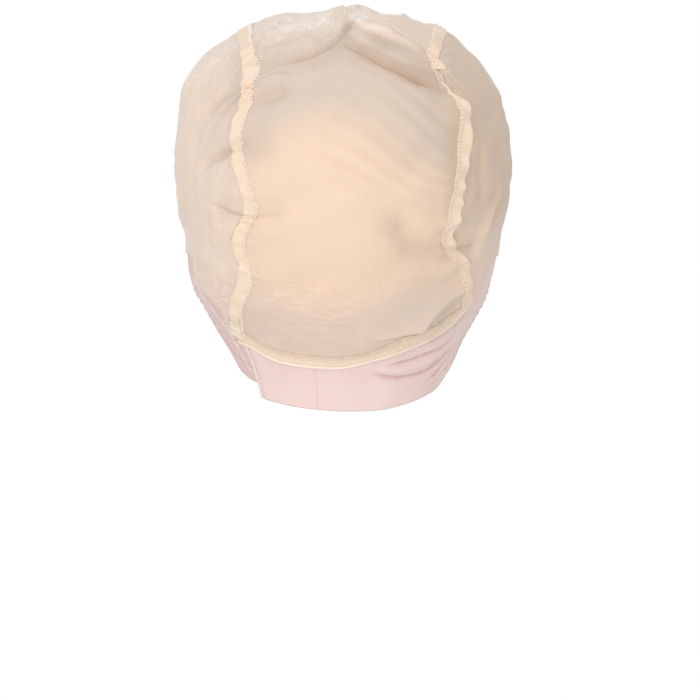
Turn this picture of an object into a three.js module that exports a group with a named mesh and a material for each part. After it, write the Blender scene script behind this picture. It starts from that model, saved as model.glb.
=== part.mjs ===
// Wig cap: a loose net cap of three panels, joined under two seam tapes and edged across the nape with a
// hem tape, on a soft grip band that wraps once round the head and laps over itself at the nape.
//
// Millimetres. The wearer faces +Y, +X is the wearer's right and +Z is up. The origin is inside the crown,
// where the cap bears on the top of the head. The cap is modelled as worn: every cloth wall follows the
// head, so a point of it is a direction from the middle of the head and a height above the head's surface.

import * as THREE from 'three';

// Head that the cap is worn on
const HEAD_HALF_WIDTH = 76.5;
const HEAD_BACK_DEPTH = 96;
const HEAD_FRONT_DEPTH = 95;
const CROWN_HEIGHT = 84; // top of the head down to its widest level
const NAPE_HEIGHT = 106; // widest level down to the cap's lowest edge
const CROWN_POWER = 2.6; // 2 would be an ellipsoid, and more is squarer

// Cloth walls, and the gap that keeps layers that touch apart
const NET_WALL = 1;
const TAPE_WALL = 1;
const BAND_WALL = 1.2;
const PAD_WALL = 0.8;
const LAYER_GAP = 0.4;
const SEAT_GAP = 0.65; // between the net and the band under it

// Net and its tapes
const NET_LIFT = 2.2; // how loosely the net lies over the head
const FOLD_HEIGHT = 6;
const FOLD_WIDTH = 12;
const SEAM_TAPE_WIDTH = 7;
const HEM_TAPE_WIDTH = 5.5;
const RUFFLE_HEIGHT = 1.5;
const RUFFLE_PITCH = 13;
const CALM_RUFFLE = 0.25; // share of that height on the flatter tape, at the wearer's left

// How the net settles onto the grip band under it
const SEAT_MARGIN = 5; // stays seated this far above the band
const SEAT_BLEND = 16;
const LAP_BLEND = 12; // degrees over which a layer rises onto the strap below it

// Hidden fastening pad between the band's ends, in degrees round the nape
const PAD_FROM = -47;
const PAD_TO = -14;
const PAD_LOW_SHARE = 0.25; // of the band's width
const PAD_HIGH_SHARE = 0.8;

// Cells of the cloth grids
const NET_ROWS = 44;
const CENTER_COLUMNS = 18; // between the tapes
const SIDE_COLUMNS = 10; // beside the tape
const BAND_COLUMNS = 76;
const BAND_ROWS = 5;

// Level sections of the head below its widest level. drop is a share of NAPE_HEIGHT, width of
// HEAD_HALF_WIDTH, and front of HEAD_FRONT_DEPTH. back and middle, where the section is widest, are
// shares of HEAD_BACK_DEPTH, and middle is negative towards the back.
const HEAD_SECTIONS = [
  { drop: 0, width: 1, middle: 0, back: 1, front: 1 },
  { drop: 0.15, width: 0.955, middle: 0, back: 0.998, front: 1 },
  { drop: 0.29, width: 0.925, middle: -0.02, back: 0.968, front: 0.99 },
  { drop: 0.44, width: 0.866, middle: -0.07, back: 0.905, front: 0.96 },
  { drop: 0.575, width: 0.769, middle: -0.13, back: 0.83, front: 0.93 },
  { drop: 0.715, width: 0.66, middle: -0.19, back: 0.738, front: 0.9 },
  { drop: 0.85, width: 0.59, middle: -0.23, back: 0.66, front: 0.87 },
  { drop: 1, width: 0.553, middle: -0.26, back: 0.605, front: 0.8 },
  { drop: 1.2, width: 0.54, middle: -0.28, back: 0.59, front: 0.75 },
];

// Lower edge of the net, right round. around is in degrees from the nape, towards the wearer's right,
// drop is a share of the whole height below the top of the head, and seam names where a seam ends.
const NET_RIM = [
  { around: 0, drop: 0.856 },
  { around: 15, drop: 0.838 },
  { around: 30, drop: 0.814 },
  { around: 42, drop: 0.789 },
  { around: 52, drop: 0.761 },
  { around: 59, drop: 0.713, seam: 'right nape' },
  { around: 64, drop: 0.699 },
  { around: 67.5, drop: 0.665 },
  { around: 70, drop: 0.625 },
  { around: 77, drop: 0.597 },
  { around: 92, drop: 0.583 },
  { around: 111, drop: 0.54 },
  { around: 130, drop: 0.45 },
  { around: 150, drop: 0.35, seam: 'right brow' },
  { around: 166, drop: 0.29 },
  { around: 180, drop: 0.275 },
  { around: 194, drop: 0.29 },
  { around: 210, drop: 0.35, seam: 'left brow' },
  { around: 230, drop: 0.45 },
  { around: 249, drop: 0.53 },
  { around: 268, drop: 0.578 },
  { around: 281, drop: 0.59 },
  { around: 287, drop: 0.612 },
  { around: 286, drop: 0.645 },
  { around: 291, drop: 0.68 },
  { around: 300, drop: 0.702 },
  { around: 304, drop: 0.727 },
  { around: 303, drop: 0.762 },
  { around: 308, drop: 0.792, seam: 'left nape' },
  { around: 316, drop: 0.811 },
  { around: 330, drop: 0.843 },
  { around: 347, drop: 0.855 },
];

// Seams between the net's panels, from the nape over the crown to the brow. arc runs over the head from
// the back (0) over the top (90) to the face, and left and right are how far each seam lies to its side.
const SEAMS = [
  { arc: -40, left: -29, right: 38.3 },
  { arc: -33, left: -27.4, right: 38.7 },
  { arc: -27, left: -27, right: 37.2 },
  { arc: -21, left: -29.6, right: 32.3 },
  { arc: -16, left: -29.6, right: 30.9 },
  { arc: -10, left: -27.2, right: 32.6 },
  { arc: -5, left: -26, right: 33.8 },
  { arc: 3, left: -28.2, right: 35.2 },
  { arc: 12, left: -31.2, right: 36.6 },
  { arc: 22, left: -29, right: 36.4 },
  { arc: 30, left: -26.4, right: 34.8 },
  { arc: 37, left: -25, right: 30.8 },
  { arc: 44, left: -26.2, right: 26.2 },
  { arc: 53, left: -27.4, right: 27 },
  { arc: 63, left: -29.2, right: 27.8 },
  { arc: 75, left: -30.4, right: 28.4 },
  { arc: 92, left: -30, right: 29 },
  { arc: 112, left: -28.5, right: 28.5 },
  { arc: 133, left: -26.5, right: 26.5 },
  { arc: 152, left: -25, right: 25 },
];

// Folds and dents of the net, each along an arc of the head from one point to another, as side and arc
// in degrees. bow bends the fold sideways and lean makes one flank steeper, both as shares of its width.
// width is a share of FOLD_WIDTH and height, negative for a dent, of FOLD_HEIGHT.
const FOLDS = [
  { from: [-22, 98], to: [-50, 70], bow: 0, width: 2.4, height: 0.35, lean: 0 },
  { from: [-50, 70], to: [-62, 35], bow: 0, width: 2.2, height: 0.32, lean: 0 },
  { from: [22, 102], to: [34, 84], bow: 0, width: 2, height: 0.25, lean: 0 },
  { from: [52, 84], to: [56, 64], bow: 0, width: 1.6, height: 0.25, lean: 0 },
  { from: [3, 66], to: [-6, 38], bow: 0.5, width: 0.8, height: -0.5, lean: 0.3 },
  { from: [-5, 37], to: [-21, 39], bow: -0.2, width: 0.75, height: -0.4, lean: 0.3 },
  { from: [-2, 56], to: [-22, 50], bow: 0.3, width: 1, height: 0.6, lean: -0.2 },
  { from: [1, 41], to: [25, 34.5], bow: -0.4, width: 0.9, height: -0.6, lean: -0.2 },
  { from: [9, 45], to: [24, 42], bow: 0, width: 1, height: -0.4, lean: 0 },
  { from: [4, 100], to: [3, 62], bow: 0.2, width: 1.1, height: 0.7, lean: 0 },
  { from: [-17, 104], to: [-18, 66], bow: -0.2, width: 1.2, height: 0.35, lean: 0 },
  { from: [16, 100], to: [13, 52], bow: 0.2, width: 1, height: 0.35, lean: 0 },
  { from: [-18, 28], to: [-42, 33], bow: 0.3, width: 0.7, height: -0.35, lean: 0.2 },
  { from: [-37, 12], to: [-22, 11], bow: 0, width: 0.85, height: -0.3, lean: 0 },
  { from: [-38, -9], to: [-19, -8], bow: 0, width: 0.85, height: -0.32, lean: 0 },
  { from: [14, -11], to: [29, -20], bow: -0.4, width: 1.1, height: -0.33, lean: 0 },
  { from: [29, -19], to: [42, -24], bow: 0, width: 0.9, height: -0.3, lean: 0 },
  { from: [6, -42], to: [22, -43], bow: 0.2, width: 0.8, height: 0.2, lean: 0 },
  { from: [24, -40], to: [36, -38], bow: 0.3, width: 0.8, height: 0.25, lean: 0 },
];

// Grip band, from its hidden end at the nape round the wearer's left, the brow and the wearer's right to
// its outer end at the nape. around is in degrees from the nape, low and high are the edges' drops as
// shares of the whole height, and lap is 1 where the band lies over its own hidden end.
const BAND_STATIONS = [
  { around: 14, low: 0.938, high: 0.77, lap: 0 },
  { around: -20, low: 0.935, high: 0.76, lap: 0 },
  { around: -45, low: 0.92, high: 0.725, lap: 0 },
  { around: -57, low: 0.902, high: 0.66, lap: 0 },
  { around: -68, low: 0.885, high: 0.585, lap: 0 },
  { around: -76, low: 0.862, high: 0.53, lap: 0 },
  { around: -83, low: 0.79, high: 0.485, lap: 0 },
  { around: -95, low: 0.68, high: 0.44, lap: 0 },
  { around: -115, low: 0.575, high: 0.375, lap: 0 },
  { around: -140, low: 0.475, high: 0.28, lap: 0 },
  { around: -180, low: 0.385, high: 0.2, lap: 0 },
  { around: -220, low: 0.475, high: 0.28, lap: 0 },
  { around: -245, low: 0.575, high: 0.375, lap: 0 },
  { around: -265, low: 0.68, high: 0.44, lap: 0 },
  { around: -277, low: 0.79, high: 0.485, lap: 0 },
  { around: -284, low: 0.865, high: 0.53, lap: 0 },
  { around: -291, low: 0.91, high: 0.58, lap: 0.1 },
  { around: -304, low: 0.932, high: 0.67, lap: 0.35 },
  { around: -322, low: 0.952, high: 0.745, lap: 0.7 },
  { around: -338, low: 0.964, high: 0.765, lap: 1 },
  { around: -360, low: 0.967, high: 0.775, lap: 1 },
  { around: -385, low: 0.958, high: 0.765, lap: 1 },
  { around: -413, low: 0.937, high: 0.735, lap: 1 },
];

// Places where the grip band stands off the head, in a round swell. reach is a share of FOLD_WIDTH and
// height of FOLD_HEIGHT.
const BAND_SWELLS = [
  { around: -90, drop: 0.642, reach: 1.5, height: 0.33 },
  { around: 74, drop: 0.85, reach: 1.5, height: 0.25 },
];

const WHOLE_HEIGHT = CROWN_HEIGHT + NAPE_HEIGHT;
const HEAD_MIDDLE = new THREE.Vector3(0, 0, -CROWN_HEIGHT);
const LAP_LIFT = BAND_WALL + PAD_WALL + 2 * LAYER_GAP;
const { clamp, lerp, smoothstep, degToRad, radToDeg } = THREE.MathUtils;

// Value of one column of a table at a given place of its key column, on cubic pieces whose slope at each
// row is that of the row's neighbours
function tableValue(rows, key, column, place) {
  const rising = rows[rows.length - 1][key] > rows[0][key] ? 1 : -1;
  let i = 0;
  while (i < rows.length - 2 && rising * place > rising * rows[i + 1][key]) i += 1;
  const slopeAt = (k) => {
    const before = rows[Math.max(k - 1, 0)];
    const after = rows[Math.min(k + 1, rows.length - 1)];
    return (after[column] - before[column]) / (after[key] - before[key]);
  };
  const span = rows[i + 1][key] - rows[i][key];
  const t = clamp((place - rows[i][key]) / span, 0, 1);
  const start = rows[i][column];
  const end = rows[i + 1][column];
  const bend = t * (1 - t) * ((1 - t) * (slopeAt(i) * span) - t * (slopeAt(i + 1) * span));
  return start + (end - start) * t * t * (3 - 2 * t) + bend;
}

// Half axes and middle of the head's level section at a drop below its widest level, before the crown
// narrows it
function headSection(level) {
  const drop = Math.max((-level - CROWN_HEIGHT) / NAPE_HEIGHT, 0);
  const share = (column) => tableValue(HEAD_SECTIONS, 'drop', column, drop);
  const middle = HEAD_BACK_DEPTH * share('middle');
  return {
    width: HEAD_HALF_WIDTH * share('width'),
    middle,
    back: HEAD_BACK_DEPTH * share('back') + middle,
    front: HEAD_FRONT_DEPTH * share('front') - middle,
  };
}

// Less than 1 inside the head, 1 on its surface
function headField(x, y, z) {
  const section = headSection(z);
  const along = y - section.middle;
  const across = Math.hypot(x / section.width, along / (along < 0 ? section.back : section.front));
  const rise = Math.max(1 + z / CROWN_HEIGHT, 0);
  return (rise ** CROWN_POWER + across ** CROWN_POWER) ** (1 / CROWN_POWER);
}

// Way out of the head at a point of its surface
function headNormal(point) {
  const step = 0.05;
  const slope = (x, y, z) => headField(point.x + x, point.y + y, point.z + z)
    - headField(point.x - x, point.y - y, point.z - z);
  return new THREE.Vector3(slope(step, 0, 0), slope(0, step, 0), slope(0, 0, step)).normalize();
}

// Point of the head's surface in a direction from its middle, found by halving
function headPoint(toward) {
  const halvings = 40;
  let near = 0;
  let far = 2 * (HEAD_BACK_DEPTH + HEAD_FRONT_DEPTH);
  const point = new THREE.Vector3();
  for (let i = 0; i < halvings; i += 1) {
    const reach = (near + far) / 2;
    point.copy(HEAD_MIDDLE).addScaledVector(toward, reach);
    if (headField(point.x, point.y, point.z) < 1) near = reach;
    else far = reach;
  }
  return point;
}

// Point of the head's surface at a share of the whole height below the top, around degrees from the nape
function levelPoint(around, drop) {
  const level = -WHOLE_HEIGHT * drop;
  const section = headSection(level);
  const rise = Math.max(1 + level / CROWN_HEIGHT, 0);
  const reach = (1 - rise ** CROWN_POWER) ** (1 / CROWN_POWER);
  const angle = degToRad(around);
  const depth = Math.cos(angle) > 0 ? section.back : section.front;
  const x = section.width * reach * Math.sin(angle);
  return new THREE.Vector3(x, section.middle - depth * reach * Math.cos(angle), level);
}

// How far round the head a point lies, in degrees from the nape, as levelPoint takes it
function aroundOf(point) {
  const section = headSection(point.z);
  const along = point.y - section.middle;
  const depth = along < 0 ? section.back : section.front;
  return radToDeg(Math.atan2(point.x / section.width, -along / depth));
}

// Direction from the middle of the head, side degrees to the wearer's right and arc degrees over the
// head from the back
function direction(side, arc) {
  const turn = degToRad(arc);
  const lean = degToRad(side);
  const reach = Math.cos(lean);
  return new THREE.Vector3(Math.sin(lean), -reach * Math.cos(turn), reach * Math.sin(turn));
}

// Height that one fold adds in a direction: full along its middle, fading towards its ends and flanks
function foldShape(fold, toward) {
  const width = FOLD_WIDTH * fold.width / HEAD_BACK_DEPTH;
  const from = direction(...fold.from);
  const along = direction(...fold.to).sub(from);
  const offset = toward.clone().sub(from);
  const t = clamp(offset.dot(along) / along.lengthSq(), 0, 1);
  const sideways = from.clone().cross(along).normalize();
  offset.addScaledVector(along, -t).addScaledVector(sideways, -4 * t * (1 - t) * fold.bow * width);
  const flank = offset.dot(sideways) > 0 ? 1 + fold.lean : 1 - fold.lean;
  const reach = Math.min(offset.length() / (width * flank), 1);
  return FOLD_HEIGHT * fold.height * (1 - reach * reach) ** 2;
}

// How far the band is lifted, as a share, where it laps over its own hidden end
function lapShare(along) {
  return clamp(tableValue(BAND_STATIONS, 'around', 'lap', along), 0, 1);
}

// Top edge and lift of the band under the net, at an angle round the head. The band passes some angles
// twice, and the net drapes over its outer end.
function bandUnderNet(around) {
  const start = BAND_STATIONS[0].around;
  const end = BAND_STATIONS[BAND_STATIONS.length - 1].around;
  const passes = [around, around - 360].filter((along) => along <= start && along >= end);
  const drape = smoothstep(around, end + 360 - LAP_BLEND, end + 360);
  return {
    high: Math.min(...passes.map((along) => tableValue(BAND_STATIONS, 'around', 'high', along))),
    lift: LAP_LIFT * (around < end + 360 ? drape : lapShare(around - 360)),
  };
}

// Height of the band's inside above the head, apart from its lap
function bandSwell(point) {
  return BAND_SWELLS.reduce((sum, swell) => {
    const away = point.distanceTo(levelPoint(swell.around, swell.drop)) / (FOLD_WIDTH * swell.reach);
    return sum + FOLD_HEIGHT * swell.height * Math.max(1 - away * away, 0) ** 2;
  }, 0);
}

// Height of the net's inside above the head. It bears on the crown and hangs looser all round, with its
// folds, and where it lies on the band it is seated on the outermost strap.
function netHeight(toward, point) {
  const around = aroundOf(point);
  const loose = NET_LIFT * (1 - Math.max(toward.z, 0) ** 4);
  const folds = FOLDS.reduce((sum, fold) => sum + foldShape(fold, toward), 0);
  const band = bandUnderNet(around);
  const bandEdge = -WHOLE_HEIGHT * band.high + SEAT_MARGIN;
  const seated = 1 - smoothstep(point.z, bandEdge, bandEdge + SEAT_BLEND);
  const seat = BAND_WALL + bandSwell(point) + band.lift + SEAT_GAP + Math.max(folds, 0);
  return lerp(Math.max(loose + folds, LAYER_GAP), seat, seated);
}

// Closed cloth wall over a grid. place(row, column) gives the inner point and the way out at a grid
// point, and wall is the cloth's thickness.
function clothWall(rows, columns, wall, place) {
  const positions = [];
  const index = [];
  const inner = (row, column) => row * (columns + 1) + column;
  const outer = (row, column) => inner(row, column) + (rows + 1) * (columns + 1);
  const quad = (a, b, c, d) => index.push(a, b, c, a, c, d);
  const grid = [];
  for (let row = 0; row <= rows; row += 1) {
    for (let column = 0; column <= columns; column += 1) grid.push(place(row, column));
  }
  grid.forEach(({ point }) => positions.push(...point));
  grid.forEach(({ point, out }) => positions.push(...point.clone().addScaledVector(out, wall)));
  for (let row = 0; row < rows; row += 1) {
    for (let column = 0; column < columns; column += 1) {
      quad(outer(row, column), outer(row, column + 1), outer(row + 1, column + 1), outer(row + 1, column));
      quad(inner(row, column), inner(row + 1, column), inner(row + 1, column + 1), inner(row, column + 1));
    }
    quad(inner(row, 0), outer(row, 0), outer(row + 1, 0), inner(row + 1, 0));
    quad(outer(row, columns), inner(row, columns), inner(row + 1, columns), outer(row + 1, columns));
  }
  for (let column = 0; column < columns; column += 1) {
    quad(outer(0, column), inner(0, column), inner(0, column + 1), outer(0, column + 1));
    quad(inner(rows, column), outer(rows, column), outer(rows, column + 1), inner(rows, column + 1));
  }
  const geometry = new THREE.BufferGeometry();
  geometry.setAttribute('position', new THREE.Float32BufferAttribute(positions, 3));
  geometry.setIndex(facesOut(positions, index));
  geometry.computeVertexNormals();
  return geometry;
}

// Triangles turned so that they face out of the closed wall they enclose
function facesOut(positions, index) {
  const corner = (k) => new THREE.Vector3().fromArray(positions, 3 * index[k]);
  let volume = 0;
  for (let k = 0; k < index.length; k += 3) volume += corner(k).dot(corner(k + 1).cross(corner(k + 2)));
  return volume > 0 ? index : index.toReversed();
}

// Directions along the net's lower edge, by row of its table
const rimCurve = new THREE.CatmullRomCurve3(
  NET_RIM.map((row) => levelPoint(row.around, row.drop).sub(HEAD_MIDDLE).normalize()), true, 'centripetal');
const rimRow = (seam) => NET_RIM.findIndex((row) => row.seam === seam);

function rimBetween(from, to) {
  return (share) => {
    const row = lerp(from, to, share) / NET_RIM.length;
    return rimCurve.getPoint(row - Math.floor(row)).normalize();
  };
}

// Directions along a seam, from the net's lower edge at the nape to its edge at the brow
function seamBetween(side, napeRow, browRow) {
  const ends = [rimBetween(napeRow, napeRow)(0), rimBetween(browRow, browRow)(0)];
  const inside = SEAMS.map((row) => direction(row[side], row.arc));
  const curve = new THREE.CatmullRomCurve3([ends[0], ...inside, ends[1]], false, 'centripetal');
  return (share) => curve.getPoint(share).normalize();
}

const rightNape = rimRow('right nape');
const rightBrow = rimRow('right brow');
const leftBrow = rimRow('left brow');
const leftNape = rimRow('left nape');
const leftSeam = seamBetween('left', leftNape, leftBrow);
const rightSeam = seamBetween('right', rightNape, rightBrow);
const napeRim = rimBetween(leftNape - NET_RIM.length, rightNape);
const browRim = rimBetween(leftBrow, rightBrow);
const leftRim = rimBetween(leftNape, leftBrow);
const rightRim = rimBetween(rightNape, rightBrow);

// Direction on the middle panel, across shares of the way from the left seam to the right one and along
// shares of the way from the nape to the brow: a patch that meets all four of its edges
function centerToward(across, along) {
  const toward = leftSeam(along).multiplyScalar(1 - across);
  toward.addScaledVector(rightSeam(along), across);
  toward.addScaledVector(napeRim(across), 1 - along).addScaledVector(browRim(across), along);
  toward.addScaledVector(leftSeam(0), -(1 - across) * (1 - along));
  toward.addScaledVector(rightSeam(0), -across * (1 - along));
  toward.addScaledVector(leftSeam(1), -(1 - across) * along);
  toward.addScaledVector(rightSeam(1), -across * along);
  return toward.normalize();
}

// Place on the inside of the net in a direction
function netPlace(toward) {
  const base = headPoint(toward);
  const out = headNormal(base);
  return { point: base.clone().addScaledVector(out, netHeight(toward, base)), out };
}

// Direction a length away from another, towards a third
function stepToward(from, to, length) {
  const reach = headPoint(from).distanceTo(HEAD_MIDDLE);
  return from.clone().lerp(to, length / (reach * from.distanceTo(to))).normalize();
}

// Shares of the way from nape to brow at which the net has its rows, the first of them a hem tape apart
const trialShare = 0.01;
const trialLength = headPoint(centerToward(0.5, 0)).distanceTo(headPoint(centerToward(0.5, trialShare)));
const hemShare = trialShare * HEM_TAPE_WIDTH / trialLength;
const rowShare = (row) => (row === 0 ? 0 : lerp(hemShare, 1, (row - 1) / (NET_ROWS - 1)));

// Grids of the three panels, their columns running from the wearer's left to the wearer's right. The
// columns next to a seam are its edge and the line under the edge of its tape.
const centerGrid = [];
const leftGrid = [];
const rightGrid = [];
for (let row = 0; row <= NET_ROWS; row += 1) {
  const along = rowShare(row);
  const edges = [leftSeam(along), rightSeam(along)];
  const towardCenter = centerToward(0.5, along);
  const inset = (seam, length) => stepToward(seam, towardCenter, length);
  const starts = [LAYER_GAP / 2, SEAM_TAPE_WIDTH / 2];
  const spread = edges[0].distanceTo(edges[1]) * headPoint(towardCenter).distanceTo(HEAD_MIDDLE);
  const margin = starts[1] / spread;
  const middle = [];
  for (let column = 1; column < CENTER_COLUMNS; column += 1) {
    middle.push(centerToward(lerp(margin, 1 - margin, column / CENTER_COLUMNS), along));
  }
  const fromLeft = starts.map((length) => inset(edges[0], length));
  const fromRight = starts.map((length) => inset(edges[1], length)).reverse();
  centerGrid.push([...fromLeft, ...middle, ...fromRight].map(netPlace));
  const outward = (seam, rim) => {
    const away = seam.clone().multiplyScalar(2).sub(towardCenter).normalize();
    const [edge, second] = starts.map((length) => stepToward(seam, away, length));
    const places = [edge, second];
    for (let column = 1; column <= SIDE_COLUMNS; column += 1) {
      places.push(second.clone().lerp(rim, column / SIDE_COLUMNS).normalize());
    }
    return places.map(netPlace);
  };
  leftGrid.push(outward(edges[0], leftRim(along)).reverse());
  rightGrid.push(outward(edges[1], rightRim(along)));
}

// Point on the outside of the net between two places of its grids, raised by a height
function onNet(from, to, share, height) {
  const outside = ({ point, out }) => point.clone().addScaledVector(out, NET_WALL);
  const out = from.out.clone().lerp(to.out, share).normalize();
  return { point: outside(from).lerp(outside(to), share).addScaledVector(out, height), out };
}

function panel(grid) {
  return clothWall(NET_ROWS, grid[0].length - 1, NET_WALL, (row, column) => grid[row][column]);
}

// Seam tape over the join of two panels. Its edge on the side panel, which is the wearer's left or right
// edge, stands off the net in ruffles.
function seamTape(leftPanel, rightPanel, ruffledColumn, ruffleHeight) {
  const seam = (row) => onNet(leftPanel[row].at(-1), rightPanel[row][0], 0.5, 0).point;
  return clothWall(NET_ROWS - 1, 2, TAPE_WALL, (row, column) => {
    const netRow = row + 1;
    const places = [leftPanel[netRow].at(-2), leftPanel[netRow].at(-1), rightPanel[netRow][1]];
    const other = column === 1 ? rightPanel[netRow][0] : places[column];
    const turns = seam(netRow).distanceTo(seam(1)) / RUFFLE_PITCH;
    const wave = 0.5 - 0.5 * Math.cos(2 * Math.PI * turns);
    const ruffle = column === ruffledColumn ? ruffleHeight * wave : 0;
    return onNet(places[column], other, 0.5, LAYER_GAP + ruffle);
  });
}

// Hem tape over the net's edge across the nape, its top just clear of the seam tapes
function hemTape() {
  const top = 1 - LAYER_GAP / HEM_TAPE_WIDTH;
  const columns = centerGrid[0].length - 1;
  return clothWall(1, columns, TAPE_WALL, (row, column) =>
    onNet(centerGrid[0][column], centerGrid[1][column], row * top, LAYER_GAP));
}

// Place on the inside of the grip band, or of the pad in its lap
function bandPlace(around, share, lift) {
  const edge = (column) => tableValue(BAND_STATIONS, 'around', column, around);
  const base = levelPoint(around, lerp(edge('low'), edge('high'), share));
  const out = headNormal(base);
  return { point: base.addScaledVector(out, lift + bandSwell(base)), out };
}

function gripBand() {
  const start = BAND_STATIONS[0].around;
  const end = BAND_STATIONS[BAND_STATIONS.length - 1].around;
  return clothWall(BAND_COLUMNS, BAND_ROWS, BAND_WALL, (row, column) => {
    const around = lerp(start, end, row / BAND_COLUMNS);
    return bandPlace(around, column / BAND_ROWS, LAP_LIFT * lapShare(around));
  });
}

function hookPad() {
  const columns = 6;
  const rows = 2;
  return clothWall(columns, rows, PAD_WALL, (row, column) => {
    const around = lerp(PAD_FROM, PAD_TO, row / columns);
    const share = lerp(PAD_LOW_SHARE, PAD_HIGH_SHARE, column / rows);
    return bandPlace(around, share, BAND_WALL + LAYER_GAP);
  });
}

const cloth = (color, roughness) => new THREE.MeshStandardMaterial({
  color, roughness, metalness: 0, flatShading: true });
const netCloth = cloth('#f3d9c6', 0.9);
const sheerNetCloth = cloth('#e9d3c3', 0.9);
const tapeCloth = cloth('#f7dec4', 0.85);
const bandCloth = cloth('#f4d9d2', 0.6);
const padCloth = cloth('#ecd2ca', 0.95);

const wigCap = new THREE.Group();

function add(name, geometry, material) {
  const mesh = new THREE.Mesh(geometry, material);
  mesh.name = name;
  wigCap.add(mesh);
}

add('net_center', panel(centerGrid), netCloth);
add('net_left', panel(leftGrid), sheerNetCloth);
add('net_right', panel(rightGrid), sheerNetCloth);
add('tape_left', seamTape(leftGrid, centerGrid, 0, RUFFLE_HEIGHT * CALM_RUFFLE), tapeCloth);
add('tape_right', seamTape(centerGrid, rightGrid, 2, RUFFLE_HEIGHT), tapeCloth);
add('hem_tape', hemTape(), tapeCloth);
add('grip_band', gripBand(), bandCloth);
add('hook_pad', hookPad(), padCloth);

export default wigCap;
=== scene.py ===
"""Wig cap as worn: a net cap of three panels, joined under seam tapes and edged with a hem tape at the
nape, on a silky grip band that laps over its own end. Lengths are millimetres until they enter a mesh."""

import bpy
import numpy as np
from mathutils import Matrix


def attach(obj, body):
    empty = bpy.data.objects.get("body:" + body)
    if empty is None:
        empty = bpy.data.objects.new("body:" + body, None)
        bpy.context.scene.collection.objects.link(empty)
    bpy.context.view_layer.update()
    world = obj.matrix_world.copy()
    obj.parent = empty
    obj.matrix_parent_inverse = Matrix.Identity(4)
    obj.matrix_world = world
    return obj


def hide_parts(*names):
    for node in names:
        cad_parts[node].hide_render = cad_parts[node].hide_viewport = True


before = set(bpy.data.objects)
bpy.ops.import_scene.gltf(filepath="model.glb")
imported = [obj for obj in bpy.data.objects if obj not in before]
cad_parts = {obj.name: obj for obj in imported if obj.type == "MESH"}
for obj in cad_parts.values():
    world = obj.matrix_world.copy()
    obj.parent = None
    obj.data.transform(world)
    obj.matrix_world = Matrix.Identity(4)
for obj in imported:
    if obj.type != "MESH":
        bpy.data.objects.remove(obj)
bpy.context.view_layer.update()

# Net of the cap, three panels
# A fine stretch net of polyester yarn over the back and crown, and a sheerer one over each side, cut to
# the head's shape. They lie loose over the head, drawn into puckers by their seams and into folds by the
# way the cap was pulled on, and their lower edge is seated on the grip band.
HEAD_HALF_WIDTH = 76.5
HEAD_BACK_DEPTH = 96
HEAD_FRONT_DEPTH = 95
CROWN_HEIGHT = 84
NAPE_HEIGHT = 106
WHOLE_HEIGHT = CROWN_HEIGHT + NAPE_HEIGHT
CROWN_POWER = 2.6
HEAD_MIDDLE = np.array([0, 0, -CROWN_HEIGHT])
HEAD_REACH = 92  # from that middle to the head's surface, about, for turning angles into lengths
# drop below the widest level, then width, middle, back and front, all as shares
HEAD_SECTIONS = np.array([
    [0, 1, 0, 1, 1], [0.15, 0.955, 0, 0.998, 1], [0.29, 0.925, -0.02, 0.968, 0.99],
    [0.44, 0.866, -0.07, 0.905, 0.96], [0.575, 0.769, -0.13, 0.83, 0.93],
    [0.715, 0.66, -0.19, 0.738, 0.9], [0.85, 0.59, -0.23, 0.66, 0.87],
    [1, 0.553, -0.26, 0.605, 0.8], [1.2, 0.54, -0.28, 0.59, 0.75]])
# degrees round from the nape, and drop below the crown as a share of the whole height
NET_RIM = np.array([
    [0, 0.856], [15, 0.838], [30, 0.814], [42, 0.789], [52, 0.761], [59, 0.713], [64, 0.699],
    [67.5, 0.665], [70, 0.625], [77, 0.597], [92, 0.583], [111, 0.54], [130, 0.45], [150, 0.35],
    [166, 0.29], [180, 0.275], [194, 0.29], [210, 0.35], [230, 0.45], [249, 0.53], [268, 0.578],
    [281, 0.59], [287, 0.612], [286, 0.645], [291, 0.68], [300, 0.702], [304, 0.727], [303, 0.762],
    [308, 0.792], [316, 0.811], [330, 0.843], [347, 0.855]])
RIGHT_NAPE, RIGHT_BROW, LEFT_BROW, LEFT_NAPE = 5, 13, 17, 28  # rows of the rim where the seams end
# arc over the head from the back, then the left and right seams' sideways angles, in degrees
SEAMS = np.array([
    [-40, -29, 37], [-33, -27.4, 37], [-27, -27, 36.4], [-21, -29.6, 32.3], [-16, -29.6, 30.9],
    [-10, -27.2, 32.6], [-5, -26, 33.8], [3, -28.2, 35.2], [12, -31.2, 36.6], [22, -29, 36.4],
    [30, -26.4, 34.4], [37, -25, 28.6], [44, -26.2, 25.2], [53, -27.4, 26.8], [63, -29.2, 28.6],
    [75, -30.4, 29.6], [92, -30, 29], [112, -28.5, 28.5], [133, -26.5, 26.5], [152, -25, 25]])
NET_LIFT = 2.2
FOLD_HEIGHT = 6
FOLD_WIDTH = 12
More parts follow.
